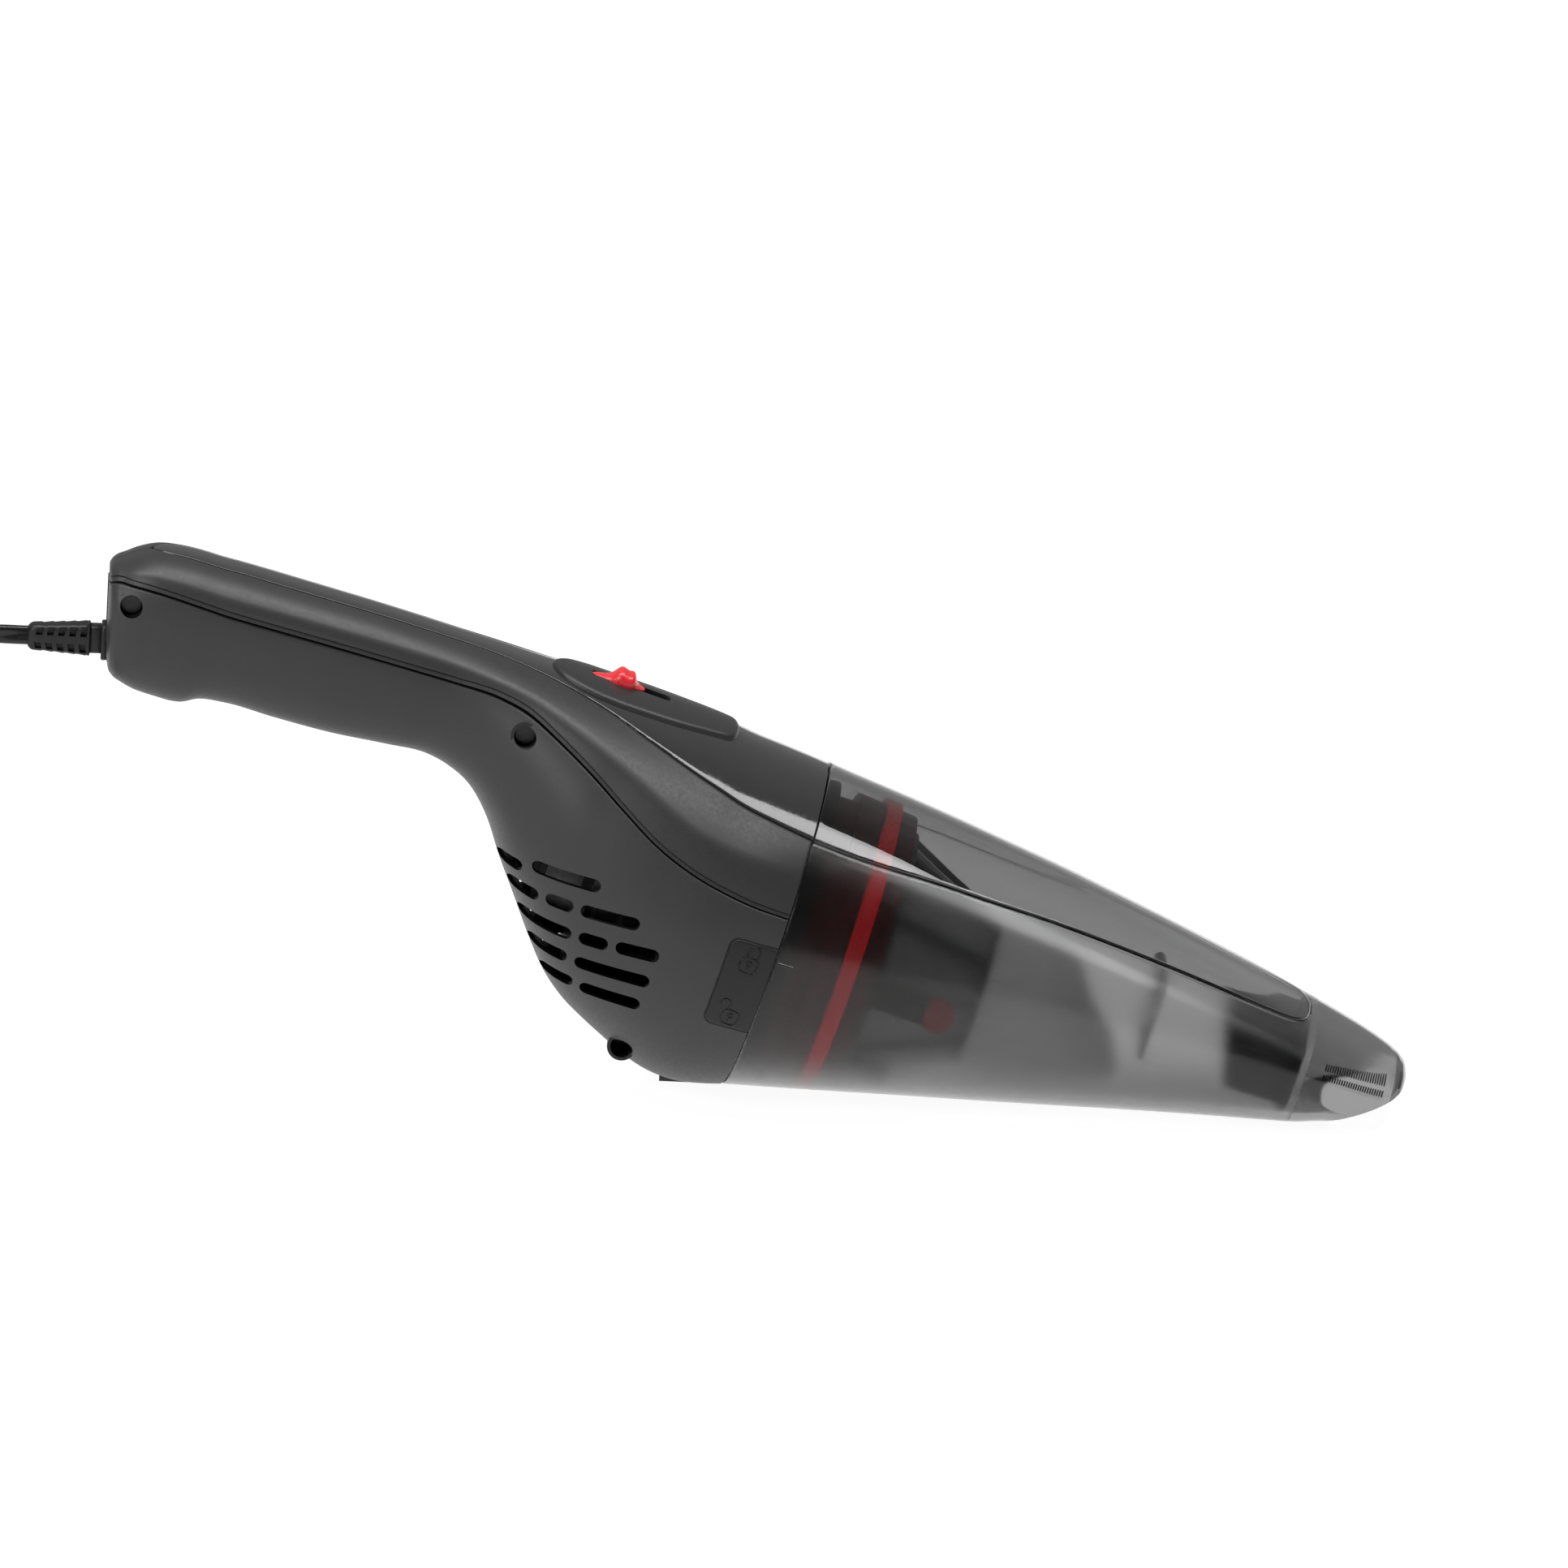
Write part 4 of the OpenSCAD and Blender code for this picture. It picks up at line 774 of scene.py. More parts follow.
panel_us = sorted(set(u for u in stations(-214.2, -207, 0.4) + BODY_US if u > -214.3))
patch = raised_patch(on_top, panel_us, lambda u: max(0.05, spine_half(u) - 0.26), rolled(0.02, 0.5, -0.5),
                     SPINE_DEPTH - 0.15, 30, True)
spine = new_piece("spine_strip", patch, ("spine_panel",), sharp=50)
cut(spine, slot_cutter())

pad_us = ([-91.5, -91.35, -91.1, -90.7, -90.2] + stations(-89.5, -33, 1.2)
          + [-32.4, -31.8, -31.2, -30.8, -30.5, -30.3, -30.2])
patch = raised_patch(on_top, pad_us, lambda u: smooth(PAD, u), rolled(1.55, 2.0, -0.1), 0.3, 34)
pad = new_piece("switch_pad_plate", patch, ("switch_pad",), sharp=50)
cut(pad, slot_cutter())

# Red slider, a saddle that runs out into a thin flange at both ends: along, height, half width
SLIDER = [(-78.9, 0.12, 0.5), (-77.8, 0.35, 1.5), (-76, 0.6, 2.3), (-74.4, 1.0, 2.9), (-73, 1.9, 3.5),
          (-72, 3.1, 4.1), (-71.2, 4.1, 4.5), (-70.2, 4.5, 4.8), (-69, 4.2, 4.9), (-67.8, 3.9, 4.9),
          (-66.8, 4.1, 4.8), (-66.1, 3.7, 4.5), (-65.5, 2.6, 4.0), (-64.9, 1.5, 3.5), (-64.2, 0.9, 3.0),
          (-63, 0.5, 2.2), (-62, 0.15, 0.7)]
pad_top = on_top(-68, 0, 1.5).z
rings = []
for u in stations(-78.9, -62, 0.35):
    h, hw = smooth(SLIDER, u, 1), smooth(SLIDER, u, 2)
    ring = []
    for c, s in circle(1, 28):
        z = pad_top + h * spow(max(0.0, s), 0.62) - 0.9 * max(0.0, -s)
        ring.append(Vector((u, hw * spow(c, 0.72), z)))
    rings.append(ring)
stem = rings_solid([[Vector((-68.5 + x, y, z)) for x, y in rounded_rect(9.6, 4.4, 0.8)]
                    for z in (50.9, pad_top)])
slider = new_piece("slider_knob", joined([rings_solid(rings), stem]), ("switch_slider",),
                   "slider", sharp=55)


# Lock panel with its two padlock signs: rear end, front end, low edge, high edge, corner radius
LOCK = (-15.2, -0.5, -23.0, 6.4, 3.0)
LOCK_MID = (LOCK[2] + LOCK[3]) / 2


def lock_place(u, v, h):
    return on_right(u, v + LOCK_MID, h)


def lock_half(u):
    half, r = (LOCK[3] - LOCK[2]) / 2, LOCK[4]
    d = u - LOCK[0]
    return half if d >= r else half - r + sqrt(max(0.0, r * r - (r - d) ** 2)) + 0.02


lock_us = stations(LOCK[0], LOCK[0] + 3, 0.25) + stations(-11.6, -1.2, 0.8) + [-0.8, -0.5]
patch = raised_patch(lock_place, lock_us, lock_half, rolled(0.42, 0.45, -0.3), 0.6, 30, True)
lock = new_piece("lock_plate", patch, ("lock_panel",), sharp=50)


def line_art(lines, centre, height, r=0.26):
    """Thin raised lines that follow the right side of the housing."""
    parts = []
    for line in lines:
        path = [on_right(centre[0] + x, centre[1] + z, height) for x, z in line]
        parts.append(sweep(path, circle(r, 8), lambda i: Vector((0, -1, 0))))
    return joined(parts)


def padlock(lines, height):
    """One sign: its lines leaned back by 8 degrees, at a height on the panel."""
    c, s = cos(radians(-8)), sin(radians(-8))
    leaned = [[(x * c - z * s, x * s + z * c) for x, z in line] for line in lines]
    return line_art(leaned, (-7.4, height), 0.42)


body_line = [(x, z - 2.2) for x, z in rounded_rect(5.4, 5.0, 1.6)]
body_line.append(body_line[0])
body = [body_line, arc(0, -1.6, 0.75, 0, 360), [(0, -2.4), (0, -3.4)]]
shackle = [(-1.7, 0.3), (-1.7, 2.4)] + arc(0, 2.4, 1.7, 180, 0) + [(1.7, 2.4), (1.7, 0.3)]
swung = [(1.7, 0.3), (1.7, 1.6)] + arc(3.2, 1.9, 1.5, 170, -30)
swung = [(-x, z) for x, z in swung]

# Fine dark line round the panel: painted shade for the groove round its edge
edge_v, edge_r = (LOCK[3] - LOCK[2]) / 2 + 0.2, LOCK[4]
corner_u = LOCK[0] + edge_r - 0.2
low_v, high_v = LOCK_MID - edge_v, LOCK_MID + edge_v
outline = [(LOCK[1], low_v), (-6, low_v)] + arc(corner_u, low_v + edge_r, edge_r, -90, -180, 8)
outline += [(LOCK[0] - 0.2, LOCK_MID + z) for z in (-6, 0, 6)]
outline += arc(corner_u, high_v - edge_r, edge_r, 180, 90, 8) + [(-6, high_v), (LOCK[1], high_v)]
signs = joined([padlock(body + [shackle], 1.3), padlock(body + [swung], -17.0),
                line_art([outline], (0, 0), -0.02, 0.2)])
signs_and_groove_shade = new_piece("lock_signs_and_groove_shade", signs, sharp=60)


# ---------------------------------------------------------------- dust bowl
window_us = [0.0, 0.08, 0.25, 0.6]
BOWL_US = (window_us + stations(2, 150, 2.0) + stations(151.5, 160.5, 0.75) + stations(161, 166.2, 0.2)
           + stations(167.5, 190, 1.25) + stations(190.8, 198.8, 0.5) + [199.1, 199.35, 199.6])
# Rounding of the rear edge
BOWL_EDGE = {0.0: 0.4, 0.08: 0.18, 0.25: 0.05}
edge_us = stations(0, 159, 2.0) + stations(160, 165, 0.25)
WINDOW_EDGE = [(-6, 35.2)] + [(u, smooth(WINDOW, u)) for u in edge_us] + [(WINDOW_END, 0.0)]


def window_half(u):
    return smooth(WINDOW, min(u, WINDOW_END))


def window_inset(u, y):
    """Depth below the bowl's outline near the window: a fine groove, then the raised polished field."""
    d = to_outline(WINDOW_EDGE, u, abs(y))
    inside = u < WINDOW_END and abs(y) < window_half(u)
    if not inside:
        return 0.45 * max(0.0, 1 - abs(d - 0.12) / 0.3) if d < 0.42 else 0.0
    t = max(0.0, 1 - d / 0.55)
    return 0.35 - (WINDOW_PROUD + 0.35) * sqrt(1 - t * t)


def bowl_side(u, side):
    sec = section(BOWL, u)
    yw = window_half(u)
    extra = BOWL_EDGE.get(u, 0.0)
    limit = sec.half * 0.975
    row = sec.even(-pi / 2, sec.ang_y(min(limit, yw + 0.75)), 44, None, side, extra)
    for dy in (0.5, 0.32, 0.2, 0.08, 0.0, -0.08, -0.2, -0.38, -0.7):
        y = max(0.05, min(limit, yw + dy))
        row.append(sec.at(sec.ang_y(y), window_inset(u, y) + extra, side))
    start = sec.ang_y(max(0.04, min(limit, yw - 1.1)))
    for p in sec.even(start, pi / 2, 12, None, side, extra):
        a = sec.ang_y(abs(p.y)) if abs(p.y) > 0.01 else pi / 2
        row.append(sec.at(a, window_inset(u, abs(p.y)) + extra, side))
    inner_u = u if u < 188 else 188 + (u - 188) * (196.4 - 188) / (199.6 - 188)
    deep_sec = section(BOWL, inner_u)
    deep = [deep_sec.at(a, BOWL_WALL, side) for a in angles_of(sec, row)]
    return row, deep


def angles_of(sec, row):
    """Angles of a row of points, so that the inner wall's points lie under the outer ones."""
    out = []
    for p in row:
        a = (sec.top - sec.bottom) / 2
        s = spow(clamp((p.z - sec.mid) / a, -1.0), sec.square / 2)
        c = clamp(abs(p.y) / sec.half) ** (sec.square / 2)
        out.append(atan2(s, c))
    return out


outer, inner = [], []
for u in BOWL_US:
    right, right_deep = bowl_side(u, -1)
    left, left_deep = bowl_side(u, 1)
    outer.append(right + left[-2:0:-1])
    inner.append(right_deep + left_deep[-2:0:-1])
for k, (x_out, x_in) in ((0.55, (199.8, 196.7)), (0.02, (199.9, 196.8))):
    outer.append([Vector((x_out, p.y * k, 14 + (p.z - 14) * k)) for p in outer[len(BOWL_US) - 1]])
    inner.append([Vector((x_in, p.y * k, 12.4 + (p.z - 12.4) * k)) for p in inner[len(BOWL_US) - 1]])
bowl_shape = grid_solid(outer, inner, wrap=True)
bowl = new_piece("clear_bowl", bowl_shape, ("dust_bowl", "bowl_window"), "bowl")


def open_mouth(bm):
    """Opens the slanted mouth with one plane and closes the wall between its two edges."""
    slope = radians(MOUTH_SLOPE)
    point = AXIS @ Vector((MOUTH_START, 0, -0.6))
    normal = (AXIS.to_3x3() @ Vector((sin(slope), 0, -cos(slope)))).normalized()
    geom = list(bm.verts) + list(bm.edges) + list(bm.faces)
    bmesh.ops.bisect_plane(bm, geom=geom, dist=1e-7, plane_co=point, plane_no=normal, clear_outer=True)
    rim_faces = bmesh.ops.bridge_loops(bm, edges=[e for e in bm.edges if e.is_boundary])["faces"]
    sharp_edges = {e for f in rim_faces for e in f.edges
                   if sum(g in rim_faces for g in e.link_faces) == 1}
    bmesh.ops.bevel(bm, geom=list(sharp_edges), offset=MOUTH_BEVEL * MM, segments=3, profile=0.5,
                    affect="EDGES", clamp_overlap=True)


edit_mesh(bowl, open_mouth)
shade(bowl, 50)


def on_bowl(u, v, h):
    return section(BOWL, max(0.0, u)).at_height(v, -h, -1)

def rib(place, u0, u1, v, half, high):
    """Low rib along a surface, run out at both ends."""
    parts = []
    n = 14
    for k in range(n + 1):
        u = u0 + (u1 - u0) * k / n
        end = min(1.0, min(k, n - k) / 1.5)
        parts.append([place(u, v + a * half * (0.3 + 0.7 * end), b * high * end + (0 if b else -0.25))
                      for a, b in ((-1, 0), (-0.6, 0.8), (0, 1), (0.6, 0.8), (1, 0))])
    return rings_solid(parts)


# Index rib on the bowl beside the lock panel
index_shape = rib(on_bowl, 0.5, 6.6, 2.3, 0.45, 0.55)
index_rib = new_piece("index_rib", index_shape, body="bowl", sharp=60)


def nose_rib(u, row):
    """Short upright rib inside the near wall of the nose."""
    sec = section(BOWL, u)
    w = row + 0.02 * (u - 173) - 1.4 * ((u - 173) / 21) ** 2
    rings = []
    for du, e in ((-0.2, 0.12), (-0.12, 0.0), (0.12, 0.0), (0.2, 0.12)):
        ring = []
        for dw, inset in ((-0.85 + e, 2.25), (0.85 - e, 2.25), (0.85 - e, 2.85 - e), (-0.85 + e, 2.85 - e)):
            p = sec.at_height(w + dw, inset, -1)
            ring.append(Vector((p.x + du, p.y, p.z)))
        rings.append(ring)
    return rings_solid(rings)


parts = [nose_rib(u, row) for row in (20.2, 17.2) for u in stations(173, 192, 0.76)]
nose_ribs = new_piece("nose_ribs", joined(parts), body="bowl")


def lap_ring(u, side):
    """Section of the lap rib inside a side seam, which closes the gap to the light."""
    sec, base = section(HOUSING, u), smooth(SEAM, u)
    corners = ((-1.6, WALL + 0.1), (1.6, WALL + 0.1), (1.6, WALL + 0.7), (-1.6, WALL + 0.7))
    return [sec.at(sec.ang_w(base + dw, inset), inset, side) for dw, inset in corners]


# The lap ribs are drawn near black: painted shade in the gap of the seam.
parts = [rings_solid([lap_ring(u, side) for u in stations(-222, -3, 1.5)]) for side in (-1, 1)]
seam_ribs = new_piece("seam_ribs", joined(parts))

# Pleated sock on the front of the screen cage, low enough for the flap to swing over it:
# along, top, bottom, half width
SOCK = [(66, 24.6, -24.6, 24.6), (75, 24.2, -24.2, 24.4), (85, 22.6, -22.8, 23.6), (93, 18.6, -21, 21.6),
        (99, 10.2, -19, 18), (104, 4.8, -17.5, 14), (109, 0.2, -16, 9), (112.5, -6, -14.5, 4.5),
        (114, -9.2, -12.6, 1.4)]


def sock_ring(u, inset, n=144):
    top, bottom, half = (smooth(SOCK, u, c) - d for c, d in ((1, inset), (2, -inset), (3, inset)))
    mid, tall = (top + bottom) / 2, (top - bottom) / 2
    ring = []
    for a in turns(n):
        pleat = 1 + 0.022 * cos(24 * a)
        ring.append(Vector((u, half * pleat * cos(a), mid + tall * pleat * sin(a))))
    return ring


sock_rows = [[sock_ring(u, inset) for u in stations(66, 114, 1.0)] for inset in (0, 0.5)]
sock = new_piece("screen_sock", grid_solid(*sock_rows, True), body="filter", sharp=60)


def inside_left(u, v, h):
    """Place inside the far half's wall, behind its slots."""
    return section(HOUSING, u).at_height(v - 12.5, 5.6 - h, 1)


# Baffle standing off the far side's slots, drawn near black as painted shade for the inside
patch = raised_patch(inside_left, stations(-94, -34, 4), lambda u: 21.5 * min(1, 0.4 + (u + 94) / 20),
                     lambda d: 0.6, 0.0, 12)
baffle = new_piece("vent_baffle", patch)

# ---------------------------------------------------------------- strain relief
RELIEF_BASE = REAR_FACE - 5.0
PITCH = 3.43
WINDOWS = 5


def relief_half(x):
    """Half width and half height of the tapered sleeve."""
    t = (x - TIP_X) / (RELIEF_BASE - TIP_X)
    return 3.15 + 0.7 * t, 4.0 + 1.15 * t


def relief_loop(x, shrink=0.0, r=1.8):
    hy, hz = relief_half(x)
    return [Vector((x, y, LEAD_HEIGHT - 0.1 + z))
            for y, z in rounded_rect(2 * (hy - shrink), 2 * (hz - shrink), r, 5)]


def relief_ring(x0, x1, half_y, half_z, r=1.3, edge=0.3, drop=0.0):
    rings = []
    for x, s in ((x0, edge), (x0 + edge * 0.4, edge * 0.35), (x0 + edge, 0), (x1 - edge, 0),
                 (x1 - edge * 0.4, edge * 0.35), (x1, edge)):
        rings.append([Vector((x, y, LEAD_HEIGHT - drop + z))
                      for y, z in rounded_rect(2 * (half_y - s), 2 * (half_z - s), r, 4)])
    return rings_solid(rings)


loops = [relief_loop(TIP_X, 1.5, 1.4), relief_loop(TIP_X + 0.15, 1.05, 1.6), relief_loop(TIP_X + 0.6, 0.5),
         relief_loop(TIP_X + 1.3, 0.12), relief_loop(TIP_X + 2.0)]
first = RELIEF_BASE - 1.1
for k in range(WINDOWS):
    x = first - PITCH * (k - 0.5)
    loops += [relief_loop(x - 1.95), relief_loop(x - 1.45, 0.16), relief_loop(x - 0.6, 0.16)]
loops += [relief_loop(RELIEF_BASE - drop, shrink) for drop, shrink in ((0.4, 0), (0.1, 0.15), (0, 0.5))]
loops.sort(key=lambda ring: ring[0].x)
relief = new_piece("relief_ladder", rings_solid(loops), ("strain_relief",), matrix=WORLD)


def slab(x0, x1, y0, y1, z0, z1, slant):
    """Box cutter whose ends lean."""
    pts = [Vector((x + (slant if z == z1 else 0), y, z))
           for x in (x0, x1) for y in (y0, y1) for z in (z0, z1)]
    return pts, [(0, 1, 3, 2), (4, 5, 7, 6), (0, 1, 5, 4), (2, 3, 7, 6), (0, 2, 6, 4), (1, 3, 7, 5)]


parts = []
for k in range(WINDOWS):
    x1 = first - PITCH * k
    hy, hz = relief_half(x1 - 1)
    for side in (-1, 1):
        y0, y1 = sorted((side * 1.75, side * 6))
        parts.append(slab(x1 - 2.0, x1, y0, y1, LEAD_HEIGHT + 1.1, LEAD_HEIGHT - 0.1 + hz - 0.7, 0.45))
        parts.append(slab(x1 - 2.0, x1, y0, y1, LEAD_HEIGHT + 1.0 - hz, LEAD_HEIGHT - 1.3, -0.45))
cut(relief, joined(parts), WORLD)
parts = [relief_ring(REAR_FACE - 1.6, REAR_FACE + 0.4, 4.9, 5.7, 2.2, 0.4, 0.5),
         relief_ring(REAR_FACE - 5.4, REAR_FACE - 1.4, 2.9, 4.3, 0.9, 0.3)]
collar = new_piece("relief_collar", joined(parts), matrix=WORLD)

# Tall oval line moulded round the lead exit in the rear face
oval = []
for k in range(41):
    t = tau * k / 40
    w = 30.2 + 13.0 * sin(t) * (1.0 if sin(t) < 0 else 0.72)
    oval.append(Vector((rear_plane(w) - 0.02, 7.4 * cos(t), w)))
oval_tube = sweep(oval, circle(0.32, 8), lambda i: Vector((1, 0, 0)), False)
oval_line = new_piece("rear_oval", oval_tube, sharp=60)


# ---------------------------------------------------------------- materials
def add_node(tree, kind, links, **values):
    """New shader node with some inputs linked and others set."""
    node = tree.nodes.new("ShaderNode" + kind)
    for socket, source in links.items():
        tree.links.new(source, node.inputs[socket])
    for socket, value in values.items():
        node.inputs[socket.replace("_", " ")].default_value = value
    return node


def map_range(tree, value, low, high, to_low, to_high):
    """Maps one range of values to another."""
    node = add_node(tree, "MapRange", {"Value": value}, From_Min=low, From_Max=high,
                    To_Min=to_low, To_Max=to_high)
    return node.outputs["Result"]


def component(tree, vector, axis):
    return add_node(tree, "SeparateXYZ", {0: vector}).outputs[axis]


class Mat:
    """Small wrapper that builds a node material."""

    def __init__(self, name, color, rough=0.5, **sockets):
        self.mat = bpy.data.materials.new(name)
        self.mat.use_nodes = True
        self.tree = self.mat.node_tree
        self.bsdf = self.tree.nodes["Principled BSDF"]
        for key, value in {"Base_Color": (*color, 1), "Roughness": rough, **sockets}.items():
            self.bsdf.inputs[key.replace("_", " ")].default_value = value
        self.coords = self.tree.nodes.new("ShaderNodeTexCoord").outputs["Object"]
        self.color, self.rough = color, rough

    def feed(self, socket, source):
        """Links a node's output to a socket of the surface."""
        self.tree.links.new(source, self.bsdf.inputs[socket])
        return self

    def noise(self, scale, detail=3.0, stretch=(1, 1, 1)):
        mapping = add_node(self.tree, "Mapping", {"Vector": self.coords}, Rotation=(0, TILT, 0),
                           Scale=[1 / v for v in stretch])
        mapping.vector_type = "TEXTURE"
        place = {"Vector": mapping.outputs["Vector"]}
        return add_node(self.tree, "TexNoise", place, Scale=scale, Detail=detail).outputs["Fac"]

    def remap(self, fac, low, high):
        return map_range(self.tree, fac, 0.3, 0.7, low, high)

    def vary_rough(self, scale, spread):
        low, high = max(0.0, self.rough - spread), min(1.0, self.rough + spread)
        return self.feed("Roughness", self.remap(self.noise(scale), low, high))

    def vary_color(self, scale, spread, stretch=(1, 1, 1)):
        mix = self.tree.nodes.new("ShaderNodeMix")
        mix.data_type = "RGBA"
        mix.inputs["A"].default_value = (*[c * (1 - spread) for c in self.color], 1)
        mix.inputs["B"].default_value = (*[min(1, c * (1 + spread)) for c in self.color], 1)
        self.tree.links.new(self.remap(self.noise(scale, 4, stretch), 0, 1), mix.inputs["Factor"])
        return self.feed("Base Color", mix.outputs["Result"])

    def bump(self, scale, strength, depth_mm, stretch=(1, 1, 1), fac=None):
        height = fac or self.noise(scale, 2, stretch)
        node = add_node(self.tree, "Bump", {"Height": height}, Strength=strength, Distance=depth_mm * MM)
        return self.feed("Normal", node.outputs["Normal"])

    def wave(self, scale, axis):
        node = add_node(self.tree, "TexWave", {"Vector": self.coords}, Scale=scale)
        node.bands_direction = axis
        return node.outputs["Fac"]


def moulded(name, color, rough, grain, depth, **sockets):
    """Moulded plastic with a fine spark-eroded grain."""
    return (Mat(name, color, rough, **sockets).vary_rough(900, 0.05).vary_color(60, 0.03)
            .bump(grain, 0.35, depth))


def metal(name, color, rough, vary, bump):
    """Bare metal with uneven roughness and a fine surface."""
    return Mat(name, color, rough, Metallic=1.0).vary_rough(*vary).bump(*bump)


DULL = {"Specular_IOR_Level": 0.36}
shell_mat = moulded("shell_grey_plastic", (0.031, 0.0305, 0.031), 0.46, 2400, 0.016, **DULL)
cover_mat = moulded("cover_grey_plastic", (0.029, 0.0285, 0.029), 0.42, 2400, 0.014, **DULL)
# Painted shade: near black on the inner faces, the lap ribs and the baffle, for the dark inside the housing
inside_shade_mat = moulded("painted_shade_inside", (0.006, 0.006, 0.006), 0.6, 1800, 0.02, Specular_IOR_Level=0.1)
spine_mat = moulded("spine_gloss_plastic", (0.030, 0.0295, 0.030), 0.08, 700, 0.002)
pad_mat = moulded("pad_soft_plastic", (0.023, 0.0228, 0.023), 0.42, 3000, 0.014, **DULL)
panel_mat = moulded("lock_panel_plastic", (0.014, 0.014, 0.0142), 0.42, 2400, 0.012, Specular_IOR_Level=0.26)
# Near black for the padlock signs and for the line round the lock panel, which is painted groove shade.
sign_and_groove_shade_mat = moulded("lock_sign_and_groove_shade", (0.002, 0.002, 0.002), 0.25, 2400, 0.003, Specular_IOR_Level=0.3)
# Black plastic for the dark parts; on the screw wells it is painted shade in the recesses.
black_and_shade_mat = moulded("black_plastic", (0.007, 0.007, 0.0072), 0.42, 1800, 0.01, **DULL)
flap_mat = Mat("clear_flap_rubber", (0.8, 0.8, 0.8), 0.3, Transmission_Weight=1.0, IOR=1.2)
flap_mat.vary_rough(900, 0.05).bump(1500, 0.2, 0.01)
sock_mat = Mat("grey_sock_cloth", (0.66, 0.66, 0.662), 0.85, Sheen_Weight=0.2)
sock_mat.vary_color(500, 0.1).bump(1500, 0.6, 0.08)
cage_mat = moulded("screen_cage_plastic", (0.085, 0.085, 0.086), 0.5, 1800, 0.01)
duct_mat = moulded("inlet_duct_plastic", (0.02, 0.02, 0.0205), 0.35, 1800, 0.01)
clear_rear = map_range(duct_mat.tree, component(duct_mat.tree, duct_mat.coords, "X"),
                       DUCT_CLEAR - 3 * MM, DUCT_CLEAR + 3 * MM, 0.0, 1.0)
duct_mat.feed("Alpha", clear_rear)
screw_mat = Mat("blackened_screw", (0.006, 0.006, 0.0065), 0.35, **DULL)
screw_mat.vary_rough(1500, 0.08).bump(2500, 0.2, 0.01)
red_mat = moulded("red_slider_plastic", (0.66, 0.022, 0.032), 0.3, 1200, 0.004)
ring_mat = moulded("filter_ring_red", (1.0, 0.012, 0.024), 0.3, 1200, 0.004)
filter_mat = moulded("filter_band_red", (0.07, 0.001, 0.002), 0.35, 1200, 0.004)
tab_mat = moulded("filter_tab_red", (0.30, 0.006, 0.010), 0.35, 1200, 0.004)
rubber_mat = moulded("black_rubber", (0.007, 0.007, 0.0072), 0.45, 1500, 0.012, **DULL)
lead_mat = moulded("lead_vinyl", (0.006, 0.006, 0.0062), 0.3, 900, 0.006, **DULL)
steel_mat = metal("zinc_screw_steel", (0.55, 0.55, 0.57), 0.28, (1500, 0.08), (2500, 0.2, 0.01))
can_mat = metal("rolled_can_steel", (0.12, 0.12, 0.125), 0.4, (700, 0.1), (500, 0.3, 0.01, (0.1, 6, 6)))
brass_mat = metal("turned_brass", (0.72, 0.52, 0.2), 0.25, (900, 0.08), (1800, 0.2, 0.008))
bronze_mat = Mat("sintered_bronze", (0.5, 0.33, 0.16), 0.5, Metallic=1.0)
bronze_mat.vary_color(2500, 0.2).bump(3500, 0.5, 0.02)
copper_mat = Mat("enamelled_copper", (0.62, 0.24, 0.09), 0.28, Metallic=1.0).vary_color(300, 0.12)
copper_mat.bump(0, 0.7, 0.12, fac=copper_mat.wave(420, "Z"))
nickel_mat = metal("nickel_plate", (0.68, 0.66, 0.62), 0.16, (800, 0.06), (1500, 0.15, 0.006))
lamination_mat = Mat("stacked_laminations", (0.2, 0.19, 0.18), 0.45, Metallic=0.9).vary_color(200, 0.2)
lamination_mat.bump(0, 0.8, 0.1, fac=lamination_mat.wave(260, "X"))
magnet_mat = Mat("sintered_ferrite", (0.05, 0.05, 0.052), 0.6).vary_color(900, 0.2).bump(2200, 0.5, 0.03)
carbon_mat = Mat("carbon_brush", (0.03, 0.03, 0.03), 0.55).vary_color(1200, 0.25).bump(2800, 0.5, 0.02)
nylon_mat = moulded("natural_nylon", (0.66, 0.65, 0.6), 0.4, 1500, 0.01, Subsurface_Weight=0.1)
ceramic_mat = moulded("dipped_capacitor", (0.5, 0.2, 0.04), 0.3, 600, 0.03)
wire_mat = moulded("red_wire_insulation", (0.5, 0.02, 0.02), 0.34, 900, 0.006)
cloth_mat = Mat("pleated_felt", (0.70, 0.69, 0.65), 0.9, Sheen_Weight=0.3)
cloth_mat.vary_color(700, 0.08).bump(1800, 0.7, 0.12)
glass_mat = Mat("fuse_glass", (0.95, 0.97, 0.98), 0.04, Transmission_Weight=1.0).vary_rough(500, 0.02)
lens_mat = Mat("red_lens", (0.8, 0.04, 0.04), 0.1, Transmission_Weight=0.8).vary_rough(500, 0.03)


def screen_material():
    """Woven screen: fine crossed wires with open cells between them."""
    m = Mat("woven_screen", (0.30, 0.30, 0.30), 0.5)
    join = add_node(m.tree, "Math", {0: m.wave(620, "X"), 1: m.wave(620, "DIAGONAL")})
    join.operation = "MAXIMUM"
    weave = join.outputs[0]
    m.feed("Alpha", map_range(m.tree, weave, 0.35, 0.6, 0.55, 1.0))
    return m.bump(0, 0.6, 0.12, fac=weave)


screen_mat = screen_material()


def clear_material(name, color, rough, ior, grain, depth, stretch=(1, 1, 1)):
    """Smoke-tinted clear plastic."""
    m = Mat(name, color, rough, Transmission_Weight=1.0, IOR=ior)
    return m.vary_rough(1400, rough * 0.15).bump(grain, 0.25, depth, stretch)


frosted_mat = clear_material("smoke_side", (0.48, 0.48, 0.482), 0.20, 1.36, 5200, 0.002)
polished_mat = clear_material("smoke_polished", (0.38, 0.38, 0.382), 0.03, 1.46, 90, 0.006, (0.05, 1, 1))
